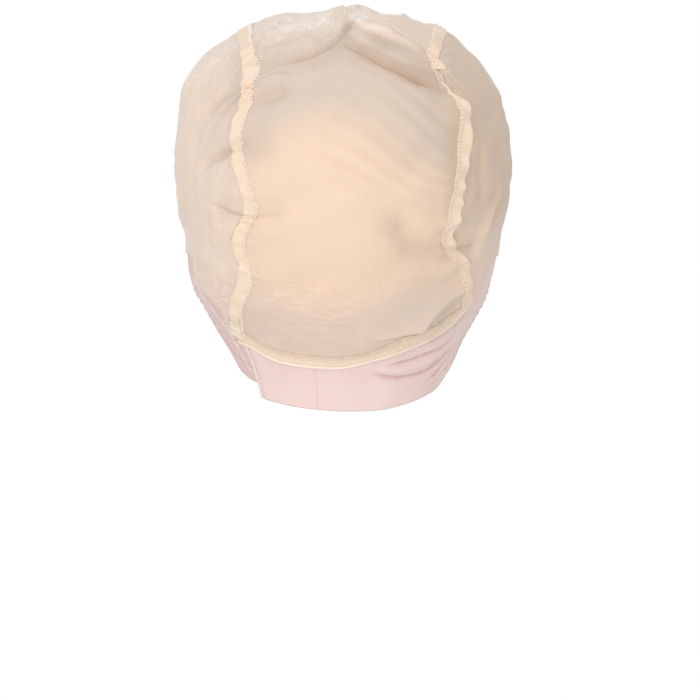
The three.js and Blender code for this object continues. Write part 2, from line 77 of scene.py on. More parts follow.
# side and arc of one end, side and arc of the other, bow, width, height, lean
FOLDS = np.array([
    [-22, 98, -50, 70, 0, 2.4, 0.35, 0], [-50, 70, -62, 35, 0, 2.2, 0.32, 0],
    [22, 102, 34, 84, 0, 2, 0.25, 0], [52, 84, 56, 64, 0, 1.6, 0.25, 0],
    [3, 66, -6, 38, 0.5, 0.8, -0.5, 0.3], [-5, 37, -21, 39, -0.2, 0.75, -0.4, 0.3],
    [-2, 56, -22, 50, 0.3, 1, 0.6, -0.2], [1, 41, 25, 34.5, -0.4, 0.9, -0.6, -0.2],
    [9, 45, 24, 42, 0, 1, -0.4, 0], [4, 100, 3, 62, 0.2, 1.1, 0.7, 0],
    [-17, 104, -18, 66, -0.2, 1.2, 0.35, 0], [16, 100, 13, 52, 0.2, 1, 0.35, 0],
    [-18, 28, -42, 33, 0.3, 0.7, -0.35, 0.2], [-37, 12, -22, 11, 0, 0.85, -0.3, 0],
    [-38, -9, -19, -8, 0, 0.85, -0.32, 0], [14, -11, 29, -20, -0.4, 1.1, -0.33, 0],
    [29, -19, 42, -24, 0, 0.9, -0.3, 0], [6, -42, 22, -43, 0.2, 0.8, 0.2, 0],
    [24, -40, 36, -38, 0.3, 0.8, 0.25, 0]])
# degrees round from the nape, lower edge, upper edge, and 1 where the band lies over its own end
BAND_STATIONS = np.array([
    [14, 0.938, 0.77, 0], [-20, 0.935, 0.76, 0], [-45, 0.92, 0.725, 0], [-57, 0.902, 0.66, 0],
    [-68, 0.885, 0.585, 0], [-76, 0.862, 0.53, 0], [-83, 0.79, 0.485, 0], [-95, 0.68, 0.44, 0],
    [-115, 0.575, 0.375, 0], [-140, 0.475, 0.28, 0], [-180, 0.385, 0.2, 0], [-220, 0.475, 0.28, 0],
    [-245, 0.575, 0.375, 0], [-265, 0.68, 0.44, 0], [-277, 0.79, 0.485, 0], [-284, 0.865, 0.53, 0],
    [-291, 0.91, 0.58, 0.1], [-304, 0.932, 0.67, 0.35], [-322, 0.952, 0.745, 0.7],
    [-338, 0.964, 0.765, 1], [-360, 0.967, 0.775, 1], [-385, 0.958, 0.765, 1], [-413, 0.937, 0.735, 1]])
BAND_FROM, BAND_TO = BAND_STATIONS[0, 0], BAND_STATIONS[-1, 0]
BAND_SWELLS = [(-90, 0.642, 1.5, 0.33), (74, 0.85, 1.5, 0.25)]  # around, drop, reach and height
BAND_WALL = 1.2
LAP_LIFT = 2.8
LAP_BLEND = 12
SEAT_GAP = 0.65
SEAT_MARGIN = 5
SEAT_BLEND = 16
LEAST_LIFT = 0.4  # of the net off the head in its deepest folds
NET_OUTSIDE = 1  # of the net's outer face above the height that its folds are measured at
NET_CLOTH = 0.45
NET_SETTLE = 0.85  # how much closer the cloth lies to the band than the firm model's wall does


def unit(vectors):
    """Vectors divided by their length."""
    return vectors / np.linalg.norm(vectors, axis=-1, keepdims=True)


def smooth(value, low, high):
    """0 below low, 1 above high, and t²(3 - 2t) between them."""
    t = np.clip((value - low) / (high - low), 0, 1)
    return t * t * (3 - 2 * t)


def table_value(rows, column, place):
    """Column of a table at places of its first column: a cubic between rows, with slopes that are those
    from the row before to the row after."""
    keys, values = rows[:, 0], rows[:, column]
    rising = 1 if keys[-1] > keys[0] else -1
    i = np.clip(np.searchsorted(rising * keys, rising * place) - 1, 0, len(keys) - 2)
    before = np.maximum(np.arange(len(keys)) - 1, 0)
    after = np.minimum(np.arange(len(keys)) + 1, len(keys) - 1)
    slopes = (values[after] - values[before]) / (keys[after] - keys[before])
    span = keys[i + 1] - keys[i]
    t = np.clip((place - keys[i]) / span, 0, 1)
    bend = t * (1 - t) * ((1 - t) * slopes[i] - t * slopes[i + 1]) * span
    return values[i] + (values[i + 1] - values[i]) * t * t * (3 - 2 * t) + bend


def head_section(level):
    """Half width, middle, back depth and front depth of the head's level section at a height."""
    drop = np.maximum((-level - CROWN_HEIGHT) / NAPE_HEIGHT, 0)
    middle = HEAD_BACK_DEPTH * table_value(HEAD_SECTIONS, 2, drop)
    return (HEAD_HALF_WIDTH * table_value(HEAD_SECTIONS, 1, drop), middle,
            HEAD_BACK_DEPTH * table_value(HEAD_SECTIONS, 3, drop) + middle,
            HEAD_FRONT_DEPTH * table_value(HEAD_SECTIONS, 4, drop) - middle)


def head_field(points):
    """1 on the head and less inside it: the rise above the widest level and the reach across the level
    section, each as a share, joined by the power CROWN_POWER."""
    width, middle, back, front = head_section(points[..., 2])
    along = points[..., 1] - middle
    across = np.hypot(points[..., 0] / width, along / np.where(along < 0, back, front))
    rise = np.maximum(1 + points[..., 2] / CROWN_HEIGHT, 0)
    return (rise ** CROWN_POWER + across ** CROWN_POWER) ** (1 / CROWN_POWER)


def head_normal(points):
    """Way out of the head: the slope of its field along each axis."""
    step = 0.05 * np.eye(3)
    slope = [head_field(points + step[k]) - head_field(points - step[k]) for k in range(3)]
    return unit(np.stack(slope, -1))


def head_point(toward):
    """Point of the head in a direction from its middle, found by halving the way to it."""
    near = np.zeros(toward.shape[:-1])
    far = near + 2 * (HEAD_BACK_DEPTH + HEAD_FRONT_DEPTH)
    for _ in range(34):
        reach = (near + far) / 2
        inside = head_field(HEAD_MIDDLE + toward * reach[..., None]) < 1
        near, far = np.where(inside, reach, near), np.where(inside, far, reach)
    return HEAD_MIDDLE + toward * near[..., None]


def level_point(around, drop):
    """Point of the head at an angle round it from the nape and a share of the whole height down."""
    around, drop = np.broadcast_arrays(np.asarray(around, float), np.asarray(drop, float))
    width, middle, back, front = head_section(-WHOLE_HEIGHT * drop)
    rise = np.maximum(1 - WHOLE_HEIGHT * drop / CROWN_HEIGHT, 0)
    reach = (1 - rise ** CROWN_POWER) ** (1 / CROWN_POWER)
    angle = np.radians(around)
    depth = np.where(np.cos(angle) > 0, back, front)
    return np.stack([width * reach * np.sin(angle), middle - depth * reach * np.cos(angle),
                     -WHOLE_HEIGHT * drop], -1)


def around_of(points):
    """Degrees round from the nape, as level_point takes them."""
    width, middle, back, front = head_section(points[..., 2])
    along = points[..., 1] - middle
    return np.degrees(np.arctan2(points[..., 0] / width, -along / np.where(along < 0, back, front)))


def direction(side, arc):
    """Unit vector a number of degrees sideways, and of degrees over the head from the back."""
    side, arc = np.broadcast_arrays(np.radians(side), np.radians(arc))
    return np.stack([np.sin(side), -np.cos(side) * np.cos(arc), np.cos(side) * np.sin(arc)], -1)


def fold_height(toward):
    """Sum of the broad folds. Each is full along a bowed arc and fades as (1 - r²)² to its flanks."""
    total = 0
    for side, arc, far_side, far_arc, bow, width, height, lean in FOLDS:
        width = FOLD_WIDTH * width / HEAD_BACK_DEPTH
        start = direction(side, arc)
        along = direction(far_side, far_arc) - start
        offset = toward - start
        t = np.clip(offset @ along / (along @ along), 0, 1)
        sideways = unit(np.cross(start, along))
        offset = offset - along * t[..., None] - sideways * (4 * t * (1 - t) * bow * width)[..., None]
        flank = np.where(offset @ sideways > 0, 1 + lean, 1 - lean)
        reach = np.minimum(np.linalg.norm(offset, axis=-1) / (width * flank), 1)
        total = total + FOLD_HEIGHT * height * (1 - reach ** 2) ** 2
    return total


def band_lift(along):
    """How far the band is raised where it laps over its own end."""
    return LAP_LIFT * np.clip(table_value(BAND_STATIONS, 3, along), 0, 1)


def band_swell(points):
    """Height of the round swells where the band stands off the head, as (1 - r²)²."""
    total = 0
    for around, drop, reach, height in BAND_SWELLS:
        away = np.linalg.norm(points - level_point(around, drop), axis=-1) / (FOLD_WIDTH * reach)
        total = total + FOLD_HEIGHT * height * np.maximum(1 - away ** 2, 0) ** 2
    return total


def seat(points):
    """How fully the net is seated on the band, 0 to 1, and the band's lift there. The band passes some
    angles twice, and the net drapes over its outer end."""
    around = around_of(points)
    high = np.minimum(table_value(BAND_STATIONS, 2, np.where(around <= BAND_FROM, around, BAND_FROM)),
                      table_value(BAND_STATIONS, 2, np.maximum(around - 360, BAND_TO)))
    edge = -WHOLE_HEIGHT * high + SEAT_MARGIN
    seated = 1 - smooth(points[..., 2], edge, edge + SEAT_BLEND)
    drape = LAP_LIFT * smooth(around, BAND_TO + 360 - LAP_BLEND, BAND_TO + 360)
    return seated, np.where(around < BAND_TO + 360, drape, band_lift(around - 360))


def smooth_curve(points, closed):
    """Centripetal Catmull-Rom curve through points, as a function of the share of its rows: on each span
    a cubic whose end slopes come from chords weighted by the square roots of their lengths."""
    count = len(points)
    if closed:
        padded = np.concatenate([points[-1:], points, points[:2]])
    else:
        padded = np.concatenate([2 * points[:1] - points[1:2], points, 2 * points[-1:] - points[-2:-1]])
    chord = np.linalg.norm(np.diff(padded, axis=0), axis=-1)[:, None] ** 0.5

    def at(share):
        """Direction of the curve at shares of its rows."""
        row = (count if closed else count - 1) * np.asarray(share, float)
        i = np.clip(np.floor(row).astype(int), 0, count - (1 if closed else 2))
        t = (row - i)[..., None]
        p0, p1, p2, p3 = (padded[i + k] for k in range(4))
        d0, d1, d2 = (chord[i + k] for k in range(3))
        out = ((p1 - p0) / d0 - (p2 - p0) / (d0 + d1) + (p2 - p1) / d1) * d1
        into = ((p2 - p1) / d1 - (p3 - p1) / (d1 + d2) + (p3 - p2) / d2) * d1
        cubic = 2 * p1 - 2 * p2 + out + into
        square = 3 * p2 - 3 * p1 - 2 * out - into
        return unit(((cubic * t + square) * t + out) * t + p1)
    return at


rim_curve = smooth_curve(unit(level_point(NET_RIM[:, 0], NET_RIM[:, 1]) - HEAD_MIDDLE), True)


def rim(start, end, share):
    """Direction to the net's lower edge, a share of the way between two rows of its table."""
    return rim_curve(((start + (end - start) * np.asarray(share, float)) / len(NET_RIM)) % 1)


seam_ends = {"left": (LEFT_NAPE, LEFT_BROW, 1), "right": (RIGHT_NAPE, RIGHT_BROW, 2)}
seams = {side: smooth_curve(np.concatenate(
    [rim(nape, nape, 0)[None], direction(SEAMS[:, column], SEAMS[:, 0]), rim(brow, brow, 0)[None]]), False)
    for side, (nape, brow, column) in seam_ends.items()}


def center_toward(across, along):
    """Direction on the middle panel: the patch that blends its four edges, each opposite pair by its
    share of the way, less the blend of the four corners."""
    a, b = across[..., None], along[..., None]
    left, right = seams["left"], seams["right"]
    edges = (1 - a) * left(along) + a * right(along)
    edges = edges + (1 - b) * rim(LEFT_NAPE - len(NET_RIM), RIGHT_NAPE, across)
    edges = edges + b * rim(LEFT_BROW, RIGHT_BROW, across)
    corners = (1 - b) * ((1 - a) * left(0) + a * right(0)) + b * ((1 - a) * left(1) + a * right(1))
    return unit(edges - corners)


# Creases, narrower than the folds: heights in millimetres, negative for a valley, and how far each
# fades to the left and to the right of its path, then the path's sides and arcs in degrees
CREASES = [
    (-3.2, 1.8, 3.6, [(2.9, 61), (2.2, 53), (0.6, 45.3), (-3.3, 39.5), (-8.4, 36.8), (-14, 36.6),
                      (-21, 39)]),
    (1.6, 5, 2.5, [(-2, 60), (-4, 50), (-8, 43.5), (-14, 41.5), (-22, 44)]),
    (-5.2, 9, 1.3, [(-1.5, 42.4), (1.6, 39.4), (10.9, 33.4), (20, 31.4), (30, 32.4)]),
    (3, 6, 5, [(1, 58), (7, 50.5), (14, 46.5), (21, 44.5), (25, 44)]),
    (0.9, 2, 5, [(2, 36), (11, 30.5), (22, 28.5), (28, 29)]),
    (-1.9, 2, 3, [(-20, 29.4), (-29.1, 32.4), (-36.3, 34), (-46, 31)]),
    (-1.8, 1.8, 3, [(-24, 31), (-36, 28), (-43, 22), (-48, 14)]),
    (-1.3, 1.5, 3, [(-33, 29), (-23, 33), (-17, 34), (-10, 31)]),
    (-2.2, 2.2, 4, [(-24, 14), (-31, 13), (-38, 12), (-50, 8)]),
    (-1.5, 1.8, 2.4, [(-15, -8), (-27, -9.8), (-36, -8.5), (-46, -5)]),
    (-0.7, 1.6, 2, [(-20, -26), (-27, -26), (-34, -25)]),
    (-1.5, 6, 9, [(14.4, -8), (16, -13), (18.6, -17.4), (23.4, -20), (30, -21)]),
    (0.5, 6, 6, [(21, -5), (23, -10), (28, -14)]),
    (-1.6, 1.8, 3.2, [(27, -18.6), (35, -22), (41, -24), (48, -24)]),
    (1.6, 4, 0.9, [(6, -41.8), (15, -41.2), (21, -42.2), (30, -45.6)]),
    (2.2, 11, 1.2, [(14, -43.5), (19.5, -41.4), (24, -38.2), (29.5, -36.5), (35, -38), (40, -42)]),
    (-0.8, 2.6, 2.6, [(-20, -33), (-8, -37), (6, -38), (16, -37)]),
    (-0.6, 2.2, 2.2, [(-19, -38), (-8, -40.6), (2, -41)]),
    (-0.3, 4, 4, [(8, 26), (18, 20), (27, 12)]),
    (-0.3, 4, 4, [(2, 20), (14, 12), (26, 2)]),
    (-1.8, 8, 6, [(39, 30), (44, 20), (46, 6), (44, -12)]),
    (2.8, 7, 6, [(60, 10), (57, -4), (50, -17), (44, -24)]),
    (-1.2, 4, 4, [(60, -2), (57, -14), (52, -24)]),
    (-1.6, 7, 9, [(-27, 29), (-18, 26), (-8, 26), (2, 30)]),
    (1.7, 4, 4, [(18.5, 76), (19, 86), (19, 106)]),
    (-1.6, 3.4, 3.4, [(12.5, 76), (12.5, 86), (12.5, 106)]),
    (-1.0, 2.6, 2.6, [(24.5, 70), (25, 84), (25, 106)]),
    (1.2, 3, 3, [(-3, 84), (3, 92), (6, 104)]),
    (-4.5, 4, 3.5, [(19, -44.5), (25, -41.8), (30.5, -40), (36, -42), (40, -46)]),
    (-1.4, 1.6, 2.4, [(-25.5, 47), (-21, 49), (-16, 51.5)]),
]
# where the seams bunch: share of the way from the nape, height and spread in millimetres
PINCHES = {
    "left": [(0.512, 1.9, 0.9), (0.526, 2.3, 0.9), (0.541, 1.6, 1.0), (0.433, 1.3, 1.1), (0.282, 2, 1.0),
             (0.297, 0.9, 0.9), (0.15, 1.2, 1.1), (0.345, 0.4, 2), (0.38, 0.3, 2), (0.62, 0.5, 1.4)],
    "right": [(0.598, 1.5, 0.9), (0.61, 1.1, 0.9), (0.5, 0.6, 1.4), (0.36, 0.6, 1.3), (0.268, 1.1, 1.1),
              (0.2, 1.1, 1.2), (0.24, 0.6, 1.3), (0.14, 0.8, 1.3)],
}
GATHER_PITCH = 8.2
GATHER_HEIGHT = 0.42
GATHER_REACH = 9
RIPPLES = 9
RIPPLE_HEIGHT = 0.11
draw = np.random.default_rng(5)
ripple_ways = unit(draw.normal(size=(RIPPLES, 3)))
ripple_lengths = draw.uniform(13, 34, RIPPLES)
ripple_waves = ripple_ways * HEAD_REACH * 2 * np.pi / ripple_lengths[:, None]
ripple_phases = draw.uniform(0, 2 * np.pi, RIPPLES)


def crease_height(points, outs, path, height, left, right):
    """Relief of one crease. r is the distance from the path as a share of the fade on that side of it,
    the profile is (1 - r)²(1 + r), and it rises from and falls to nothing over the path's ends."""
    steps = np.diff(path, axis=0)
    lengths = np.linalg.norm(steps, axis=-1)
    starts = np.cumsum(lengths) - lengths
    offset = points[..., None, :] - path[:-1]
    t = np.clip((offset * steps).sum(-1) / lengths ** 2, 0, 1)
    offset = offset - t[..., None] * steps
    away = np.linalg.norm(offset, axis=-1)
    nearest = away.argmin(-1)[..., None]

    def pick(values):
        """Values at each point's nearest piece of the path."""
        return np.take_along_axis(values, nearest, -1)[..., 0]
    side = (np.cross(outs[..., None, :], steps) * offset).sum(-1)
    reach = np.clip(pick(away) / np.where(pick(side) > 0, left, right), 0, 1)
    share = pick(starts + t * lengths) / lengths.sum()
    ends = smooth(share, 0, 0.22) * (1 - smooth(share, 0.74, 1))
    return height * (1 - reach) ** 2 * (1 + reach) * ends


def seam_run(side, share):
    """Length of a seam from the nape to shares of it, added up from short chords."""
    shares = np.linspace(0, 1, 400)
    chords = np.linalg.norm(np.diff(head_point(seams[side](shares)), axis=0), axis=-1)
    return np.interp(share, shares, np.concatenate([[0], np.cumsum(chords)]))


def gathers(side, share, toward):
    """Puckers that a seam draws in the net: uneven waves along it that fade away from it."""
    run = seam_run(side, share) + (0 if side == "left" else 31)
    away = HEAD_REACH * np.linalg.norm(toward - seams[side](share), axis=-1)
    wave = np.sin(2 * np.pi * (run / GATHER_PITCH + 0.42 * np.sin(run / 7.9) + 0.3 * np.sin(run / 17)))
    swing = GATHER_HEIGHT * (0.6 + 0.4 * np.sin(run / 10.7 + 1))
    ridge = 0
    for place, rise, spread in PINCHES[side]:
        off = (seam_run(side, share) - seam_run(side, place)) / (spread * (1 + away / 7))
        ridge = ridge + rise * np.exp(-off ** 2)
    return (swing * wave + ridge) * np.exp(-away / GATHER_REACH)


def net_marks(toward, above, fine, folds, seated):
    """Marks of the net for its material, each from 0: how hazy it looks where it stands clear and over the
    crown, where it lies in loose layers; painted shade in its hollows; how dull, away from where it
    lies on the head, with painted shade beside the left tape; painted shade on the right; how far over
    the band; how plainly its yarns show; where two layers beat into bands; and where the yarns are
    dragged into level streaks."""
    right, front, rise = (toward[..., k] for k in range(3))
    beside = smooth(np.abs(right), 0.45, 0.6)
    crown = smooth(rise, 0.5, 0.78) * (1 - 0.6 * smooth(right, -0.05, 0.25))
    clear = smooth(above * (1 - seated) + fine, 3.2, 7)
    off_head = np.linalg.norm(toward - direction(-5, -8), axis=-1)
    off_left = np.linalg.norm(toward - direction(-36, 20), axis=-1)
    upper = smooth(rise, -0.05, 0.2) * (1 - 0.8 * smooth(rise, 0.6, 0.8))
    outer = upper * (1 - 0.25 * smooth(right, -0.2, 0.2)) + 0.6 * smooth(-rise, 0.3, 0.55)
    upper_right = smooth(rise, 0.2, 0.4) * smooth(right, -0.1, 0.1)
    upper_left = smooth(rise, 0, 0.3) * (1 - smooth(right, 0.1, 0.35))
    low_beside = beside * smooth(-rise, 0, 0.4)
    # painted shade on the net beside the left tape
    near_left = 1 - smooth(off_left, 0.05, 0.32)
    # a greyer tone where the net stands off the head, plus painted shade beside the left tape
    dull_and_painted_shade = 1.2 * outer * smooth(off_head, 0.3, 0.6) * (1 - beside) + 0.4 * near_left
    grain = smooth(off_head, 0.15, 0.42) * (1 - 0.7 * low_beside) * (1 + 0.9 * upper_left)
    return {
        "haze": np.clip(0.5 * clear + 1.3 * crown + 0.4 * smooth(-right, 0.4, 0.7), 0, 1),
        # painted shade, darker the deeper the net lies in a hollow, most at the upper right
        "painted_hollow_shade": smooth(-folds - fine, 0.3, 3.4) * (0.62 + 0.88 * upper_right),
        "dull_and_painted_shade": np.clip(dull_and_painted_shade, 0, 1),
        "shaded": smooth(right, 0.45, 0.55) * smooth(rise, -0.35, 0) * smooth(-front, -0.3, 0.25),
        "over_band": seated,
        "grain": grain * (1 - 0.6 * crown),
        "moire": smooth(right, -0.25, 0.3) * smooth(rise, -0.15, 0.2) * (1 - beside),
        "streaks": smooth(-rise, 0.36, 0.52) * smooth(-right, -0.35, 0.1)}


def net_surface(toward, share, sides, height=0):
    """Outer face of the net raised by a height: the head's surface, the broad folds, the creases, the
    puckers by the named seams and gentle ripples, then the seat on the band. Also its ways out and its
    marks."""
    base = head_point(toward)
    out = head_normal(base)
    loose = NET_LIFT * (1 - np.maximum(toward[..., 2], 0) ** 4)
    folds = fold_height(toward)
    seated, lift = seat(base)
    fine = sum(gathers(side, share, toward) for side in sides)
    waves = sum(np.sin(toward @ wave + phase) for wave, phase in zip(ripple_waves, ripple_phases))
    fine = fine + RIPPLE_HEIGHT * waves * (1 + np.abs(toward[..., 0]))
    for crease, left, right, path in CREASES:
        path = head_point(direction(*np.transpose(path)))
        fine = fine + crease_height(base, out, path, crease, left, right)
    resting = BAND_WALL + band_swell(base) + lift + SEAT_GAP + np.maximum(folds, 0)
    above = np.maximum(loose + folds, LEAST_LIFT)
    level = above * (1 - seated) + (resting - NET_SETTLE) * seated
    level = level + np.maximum(fine, 0) + np.minimum(fine, 0) * (1 - 0.9 * seated) + NET_OUTSIDE + height
    return base + out * level[..., None], out, net_marks(toward, above, fine, folds, seated)


def add_object(name, data):
    """Object of its data, linked to the scene."""
    thing = bpy.data.objects.new(name, data)
    bpy.context.scene.collection.objects.link(thing)
    return thing


def closed_mesh(name, points, faces, threads, marks):
    """Mesh object from points in millimetres, with faces turned outwards by the sign of the volume that
    they enclose, threads, a place in the flat cloth for each corner, as its UV map, and marks, named
    values for each point."""
    quads = faces[:, [0, 1, 2, 0, 2, 3]].reshape(-1, 3)
    a, b, c = (points[quads[:, k]] for k in range(3))
    if (a * np.cross(b, c)).sum() < 0:
        faces, threads = faces[:, ::-1], threads[:, ::-1]
    mesh = bpy.data.meshes.new(name)
    mesh.vertices.add(len(points))
    mesh.vertices.foreach_set("co", (points * 0.001).astype(np.float32).ravel())
    mesh.loops.add(faces.size)
    mesh.loops.foreach_set("vertex_index", faces.astype(np.int32).ravel())
    mesh.polygons.add(len(faces))
    mesh.polygons.foreach_set("loop_start", np.arange(0, faces.size, 4, dtype=np.int32))
    mesh.uv_layers.new(name="threads")
    mesh.uv_layers["threads"].data.foreach_set("uv", threads.astype(np.float32).ravel())
    for mark, values in marks.items():
        mesh.attributes.new(mark, "FLOAT", "POINT").data.foreach_set("value", values.astype(np.float32))
    mesh.update(calc_edges=True)
    mesh.validate()
    mesh.shade_smooth()
    return add_object(name, mesh)


def cloth_wall(name, points, outs, wall, threads, marks=()):
    """Cloth of one thickness: the grid of outer points, the same grid a wall further in, and a strip of
    faces round their four edges."""
    rows, columns = points.shape[:2]
    outer = np.arange(rows * columns).reshape(rows, columns)
    inner = outer + rows * columns

    def cells(grid):
        """Faces between the neighbouring points of a grid."""
        return np.stack([grid[:-1, :-1], grid[:-1, 1:], grid[1:, 1:], grid[1:, :-1]], -1).reshape(-1, 4)
    ring = np.concatenate([outer[0], outer[1:, -1], outer[-1, -2::-1], outer[-2:0:-1, 0]])
    ahead = np.roll(ring, -1)
    edge = np.stack([ahead, ring, ring + rows * columns, ahead + rows * columns], -1)
    faces = np.concatenate([cells(outer), cells(inner)[:, ::-1], edge])
    both = np.concatenate([points.reshape(-1, 3), (points - outs * wall).reshape(-1, 3)])
    flat = threads.reshape(-1, 2)[faces % (rows * columns)]
    doubled = {mark: np.tile(values.ravel(), 2) for mark, values in dict(marks).items()}
    return closed_mesh(name, both, faces, flat, doubled)


def linear(code):
    """sRGB hex colour as linear light: ((c + 0.055) / 1.055) ** 2.4 above the dark end."""
    c = np.array([int(code[k:k + 2], 16) for k in (1, 3, 5)]) / 255
    return (*np.where(c > 0.04045, ((c + 0.055) / 1.055) ** 2.4, c / 12.92), 1)


def add_node(material, kind, inputs=(), **settings):
    """Node of a kind with its settings, and with inputs, by name or number, that are values or are
    linked from other nodes' outputs."""
    node = material.node_tree.nodes.new(kind)
    for name, value in settings.items():
        setattr(node, name, value)
    for name, value in dict(inputs).items():
        if isinstance(value, bpy.types.NodeSocket):
            material.node_tree.links.new(value, node.inputs[name])
        else:
            node.inputs[name].default_value = value
    return node


def new_material(name):
    """Empty node material and its cloth coordinates, in millimetres of flat cloth."""
    material = bpy.data.materials.new(name)
    material.use_nodes = True
    material.node_tree.nodes.clear()
    return material, add_node(material, "ShaderNodeUVMap", uv_map="threads").outputs["UV"]


def value_of(material, operation, *inputs):
    """Result of a math node on values or other nodes' outputs."""
    return add_node(material, "ShaderNodeMath", dict(enumerate(inputs)), operation=operation).outputs[0]


def mark_of(material, name, amount):
    """A mesh's mark times an amount."""
    mark = add_node(material, "ShaderNodeAttribute", attribute_name=name).outputs["Fac"]
    return value_of(material, "MULTIPLY", mark, amount)


def pattern(material, kind, cloth, inputs, **settings):
    """Value of a wave or noise texture over the cloth."""
    inputs = {"Vector": cloth, **inputs}
    return add_node(material, "ShaderNodeTex" + kind, inputs, **settings).outputs["Fac"]


def mapped(material, cloth, inputs):
    """Cloth coordinates turned or scaled."""
    return add_node(material, "ShaderNodeMapping", {"Vector": cloth, **inputs}).outputs[0]


def stretched(material, value, low, high, to_low=0.0, to_high=1.0):
    """A value stretched so that low and high become two others, and kept between those."""
    return add_node(material, "ShaderNodeMapRange", {
        "Value": value, "From Min": low, "From Max": high, "To Min": to_low, "To Max": to_high}).outputs[0]


def blend(material, factor, first, second):
    """Mix of two colours, each a hex code or a node's output, by a factor."""
    first, second = (linear(color) if isinstance(color, str) else color for color in (first, second))
    inputs = {"Factor": factor, 6: first, 7: second}
    return add_node(material, "ShaderNodeMix", inputs, data_type="RGBA").outputs[2]


def bump(material, height, strength, distance, inputs=()):
    """Normal of a relief a distance high in metres."""
    return add_node(material, "ShaderNodeBump", {
        "Height": height, "Strength": strength, "Distance": distance, **dict(inputs)}).outputs["Normal"]


def finish_material(material, inputs):
    """Ends a material with its surface shader."""
    shader = add_node(material, "ShaderNodeBsdfPrincipled", inputs)
    add_node(material, "ShaderNodeOutputMaterial", {"Surface": shader.outputs[0]})
    return material


WAVE_SCALE = 0.314  # scale at which a wave texture's bands are one unit apart
# tints of the net by its marks: the hollow and shaded ones are painted shade, and the dull one is in part
NET_TINTS = [("over_band", 0.3, "#efd6cc"), ("dull_and_painted_shade", 0.65, "#d1c3b9"), ("painted_hollow_shade", 0.55, "#cdb6a2"),
             ("shaded", 0.42, "#c6ac92")]  # mark, full strength and colour


def net_material(name, thread, shade, haze, pitch, slant, contrast):
    """Knitted net: two sets of yarn, each a sine of the place in the cloth across it, that show in some
    places more than in others. A slow beat of two layers, level streaks of dragged yarn and soft clouds
    are added, and the sum mixes the colours of thread and shade. Over that lie a haze of bare yarn in
    crinkled layers and the tints by the net's marks, among them painted shade in its hollows, beside the
    left tape and on its right side."""
    material, cloth = new_material(name)
    lined = mapped(material, cloth, {"Rotation": (0, 0, slant)})
    lines = [pattern(material, "Wave", lined, {
        "Scale": WAVE_SCALE / pitch * closer, "Distortion": 2.6, "Detail": 2.0, "Detail Scale": 0.9},
        bands_direction=way) for way, closer in (("X", 1), ("Y", 1.12))]
    patch = pattern(material, "Noise", cloth, {"Scale": 0.022, "Detail": 1.0})
    patch = stretched(material, patch, 0.4, 0.65, 0.12, 0.4)
    mesh = add_node(material, "ShaderNodeMix", {0: patch, 2: lines[0], 3: lines[1]}).outputs[0]
    dragged = pattern(material, "Noise", mapped(material, cloth, {"Scale": (0.16, 0.8, 1)}), {
        "Scale": 1.0, "Detail": 2.0, "Distortion": 0.6})
    dragged = value_of(material, "SUBTRACT", dragged, 0.5)
    mesh = add_node(material, "ShaderNodeMix", {
        0: mark_of(material, "streaks", 0.5), 2: mesh, 3: dragged}).outputs[0]
    beat = pattern(material, "Wave", mapped(material, cloth, {"Rotation": (0, 0, -1.36)}), {
        "Scale": 0.042, "Distortion": 18.0, "Detail": 0.0, "Detail Scale": 0.3})
    cloud = pattern(material, "Noise", cloth, {"Scale": 0.045, "Detail": 4.0, "Roughness": 0.6})
    strong = pattern(material, "Noise", cloth, {"Scale": 0.07, "Detail": 2.0})
    strong = stretched(material, strong, 0.35, 0.65, 1.1 * contrast, 1.4 * contrast)
    plain = value_of(material, "ADD", mark_of(material, "grain", 0.8), 0.2)
    strong = value_of(material, "MULTIPLY", strong, plain)
    level = value_of(material, "MULTIPLY_ADD", value_of(material, "SUBTRACT", mesh, 0.5), strong, 0.5)
    for change, middle, amount in ((beat, 0.55, mark_of(material, "moire", 1.1)),
                                   (dragged, 0.0, mark_of(material, "streaks", 5.0)), (cloud, 0.45, 0.5)):
        off = value_of(material, "SUBTRACT", change, middle)
        level = value_of(material, "MULTIPLY_ADD", off, amount, level)
    body = blend(material, level, shade, thread)
    layers = pattern(material, "Noise", cloth, {
        "Scale": 0.12, "Detail": 5.0, "Roughness": 0.65, "Distortion": 2.5})
    layers = stretched(material, layers, 0.4, 0.6, 0.25)
    bare = value_of(material, "MULTIPLY", mark_of(material, "haze", 0.9), layers)
    body = blend(material, bare, body, haze)
    for mark, amount, tint in NET_TINTS:
        body = blend(material, mark_of(material, mark, amount), body, tint)
    crinkle = value_of(material, "MULTIPLY", layers, mark_of(material, "haze", 1.0))
    normal = bump(material, crinkle, 0.4, 0.0007, {"Normal": bump(material, mesh, 0.3, 0.0002)})
    return finish_material(material, {
        "Base Color": body, "Roughness": 0.85, "Specular IOR Level": 0.25, "Sheen Weight": 0.45,
        "Sheen Roughness": 0.4, "Normal": normal})


# Yarns of the real net are about 0.5 mm apart; they are drawn twice as far apart, so that they show.
fine_net = net_material("knitted_stretch_net_fine", "#f5ddc6", "#edcfb6", "#fbf5f0", 1.0, 0.0, 0.85)
# The side net is more open, so its yarns are further apart, and they run aslant.
sheer_net = net_material("knitted_stretch_net_sheer", "#f2dfcd", "#e7ccb8", "#f8e9de", 1.25, 0.72, 0.6)

NET_ROWS = 400
CENTER_COLUMNS = 112
SIDE_COLUMNS = 88
TAPE_HALF = 3.9
UNDER_TAPE = (0.2, 1.3, 2.4, TAPE_HALF)  # lengths off the seam of a side panel's rows under the tape
HEM_WIDTH = 5.5
hem_trial = head_point(center_toward(np.array([0.5, 0.5]), np.array([0, 0.01])))
HEM_SHARE = 0.01 * HEM_WIDTH / np.linalg.norm(hem_trial[1] - hem_trial[0])
row_shares = np.interp(np.linspace(0, 1, NET_ROWS + 1), [0, 0.78, 1], [0, 0.64, 1])  # closer at the back


def away_from(seam, center, length):
    """Direction a length off a seam, towards the middle panel's middle where the length is positive."""
    inward = unit(center - seam * (center * seam).sum(-1, keepdims=True))
    return unit(seam + inward * np.asarray(length)[..., None] / HEAD_REACH)


